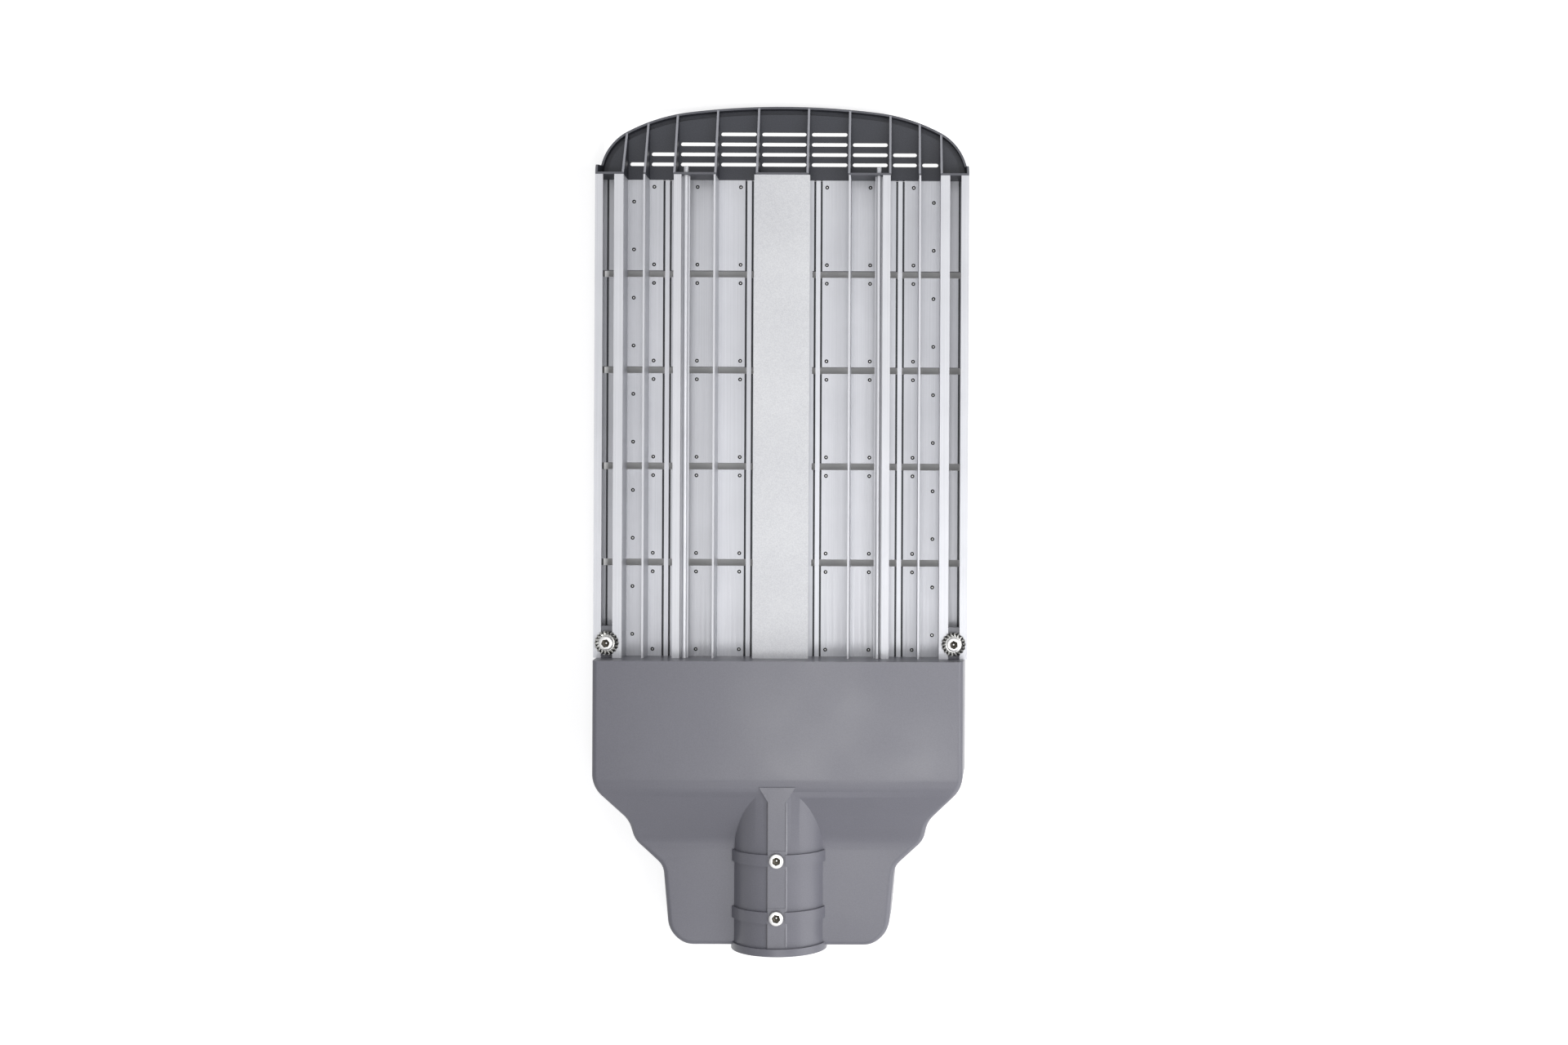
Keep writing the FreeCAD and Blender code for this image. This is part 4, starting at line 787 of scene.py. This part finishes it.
def add_light_source(shape, x, y):
    """A light source of four millimetres: a pale frame with a raised yellow face."""
    rings = []
    for half, depth in SOURCE_STEPS:
        ring = []
        for sign_x, sign_y in CORNER_SIGNS:
            ring.append(shape.verts.new((x + sign_x * half, y + sign_y * half,
                                         SOURCE_TOP - depth)))
        rings.append(ring)
    join_rings(shape, rings)
    close_ends(shape, rings, SECOND)


sources = bmesh.new()
for side, _, row, centre in MODULES:
    shape = bmesh.new()
    add_lens_plate(shape, centre)
    new_piece(f"lens_tray_{side}_{row}", shape, [LENS],
              [f"lens_plate_{side}_{row}"])
    for across, along in DOME_PLACES:
        add_light_source(sources, centre.x + across, centre.y + along)
new_piece("light_sources", sources, [BOARD, PHOSPHOR])


# Floor, light and camera, in metres.

HEAD_MIDDLE_Y = 0.35
FLOOR_SIZE = 30
FLOOR_COLOUR = (0.55, 0.55, 0.56, 1)
WHITE = (1, 1, 1, 1)
# The floor's own light, beside the head, far away, below the sinks as painted shade and below the
# front grille as painted light, and the reach from the head over which it rises to white.
GLOW_BESIDE = 0.7
GLOW_FAR = 1.0
PAINTED_SHADE_BELOW_SINKS = 0.1
PAINTED_LIGHT_BELOW_GRILLE = 0.95
GLOW_START = 0.6
GLOW_END = 1.6
# The world's light on the head, from the left and from the right.
WORLD_LEFT = 0.21
WORLD_RIGHT = 0.26


def seen_directly(tree):
    """High for rays from the camera, straight or by way of gloss and glass."""
    rays = add(tree, "ShaderNodeLightPath")
    seen = combine(tree, "MAXIMUM", rays.outputs["Is Camera Ray"], rays.outputs["Is Glossy Ray"])
    return combine(tree, "MAXIMUM", seen, rays.outputs["Is Transmission Ray"])


def floor_glow_with_painted_light_and_shade(tree):
    """The floor's own light: white far away, a little less beside the head, a painted pool of
    light behind the front grille and painted shade below the sinks, where it has hardly any."""
    sink_low, sink_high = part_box("heat_sink_right")
    grille_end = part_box("front_end_cap")[1].y
    place = add(tree, "ShaderNodeNewGeometry").outputs["Position"]
    across, forward, _ = separate(tree, place)
    reach = add(tree, "ShaderNodeVectorMath", operation="DISTANCE")
    link(tree, place, reach.inputs[0])
    reach.inputs[1].default_value = (0, HEAD_MIDDLE_Y, cad_low.z)
    outside = remap(tree, reach.outputs["Value"], GLOW_START, GLOW_END, GLOW_BESIDE, GLOW_FAR)
    # Painted shade below the sinks and painted light below the front grille.
    below = remap(tree, forward, sink_high.y - 4 * MM, sink_high.y + 6 * MM,
                  PAINTED_SHADE_BELOW_SINKS, PAINTED_LIGHT_BELOW_GRILLE)
    aside = absolute(tree, across)
    inside = remap(tree, aside, sink_high.x - 6 * MM, sink_high.x, 1.0, 0.0)
    started = remap(tree, forward, sink_low.y - 30 * MM, sink_low.y - 20 * MM)
    ended = remap(tree, forward, grille_end - 4 * MM, grille_end, 1.0, 0.0)
    footprint = combine(tree, "MULTIPLY", inside, combine(tree, "MULTIPLY", started, ended))
    return remap(tree, footprint, 0.0, 1.0, outside, below)


def add_floor():
    """A wide pale floor at the level of the lens side, which keeps the head's shadow."""
    bpy.ops.mesh.primitive_plane_add(size=FLOOR_SIZE, location=(0, HEAD_MIDDLE_Y, cad_low.z))
    floor = bpy.context.object
    floor.name = "floor"
    material = bpy.data.materials.new("pale_floor")
    material.use_nodes = True
    tree = material.node_tree
    shader = tree.nodes["Principled BSDF"]
    shader.inputs["Base Color"].default_value = FLOOR_COLOUR
    shader.inputs["Roughness"].default_value = 0.9
    shader.inputs["Specular IOR Level"].default_value = 0.0
    shader.inputs["Emission Color"].default_value = WHITE
    glow = combine(tree, "MULTIPLY", seen_directly(tree), floor_glow_with_painted_light_and_shade(tree))
    link(tree, glow, shader.inputs["Emission Strength"])
    dress(floor, material)


def add_world():
    """Even light from all round, a little stronger from the right, and a white backdrop."""
    world = bpy.data.worlds.new("studio")
    world.use_nodes = True
    tree = world.node_tree
    background = tree.nodes["Background"]
    background.inputs["Color"].default_value = WHITE
    place = add(tree, "ShaderNodeTexCoord")
    across, _, _ = separate(tree, place.outputs["Generated"])
    even = remap(tree, across, -1.0, 1.0, WORLD_LEFT, WORLD_RIGHT)
    strength = remap(tree, seen_directly(tree), 0.0, 1.0, even, 1.0)
    link(tree, strength, background.inputs["Strength"])
    bpy.context.scene.world = world


def add_lamp(name, place, target, size, power):
    """A rectangular lamp aimed at its target."""
    lamp = bpy.data.lights.new(name, "AREA")
    lamp.shape = "RECTANGLE"
    lamp.size = size[0]
    lamp.size_y = size[1]
    lamp.energy = power
    holder = bpy.data.objects.new(name, lamp)
    holder.location = place
    holder.rotation_euler = (Vector(target) - Vector(place)).to_track_quat("-Z", "Y").to_euler()
    bpy.context.scene.collection.objects.link(holder)


def add_camera():
    """The camera above the head, framed and turned as in the photograph."""
    camera = bpy.data.cameras.new("camera")
    camera.sensor_width = 36
    camera.lens = 40.84
    camera.shift_x = -0.07
    camera.clip_end = 50
    holder = bpy.data.objects.new("camera", camera)
    holder.location = (0.0925, 0.3478, 1.459)
    holder.rotation_euler = (0, 0, math.radians(0.26))
    bpy.context.scene.collection.objects.link(holder)
    bpy.context.scene.camera = holder


add_floor()
add_world()
head_middle = (0, HEAD_MIDDLE_Y, 0)
add_lamp("overhead", (0.0, 0.6, 2.1), head_middle, (1.0, 1.7), 6.3)
add_lamp("rear", (0.1, -0.9, 1.9), head_middle, (1.2, 0.8), 5)
add_lamp("key", (0.95, 0.2, 1.1), head_middle, (0.5, 1.0), 7)
add_lamp("neck", (0.6, -0.3, 0.25), (0, 0.05, 0.03), (0.9, 0.55), 2.8)
add_lamp("sheen", (0.1, -0.08, 1.9), (0.05, 0.15, 0), (0.6, 0.3), 5.2)
add_lamp("front", (0.2, 2.1, 1.5), head_middle, (1.4, 0.5), 2)
add_camera()

bpy.context.scene.view_settings.view_transform = "Standard"
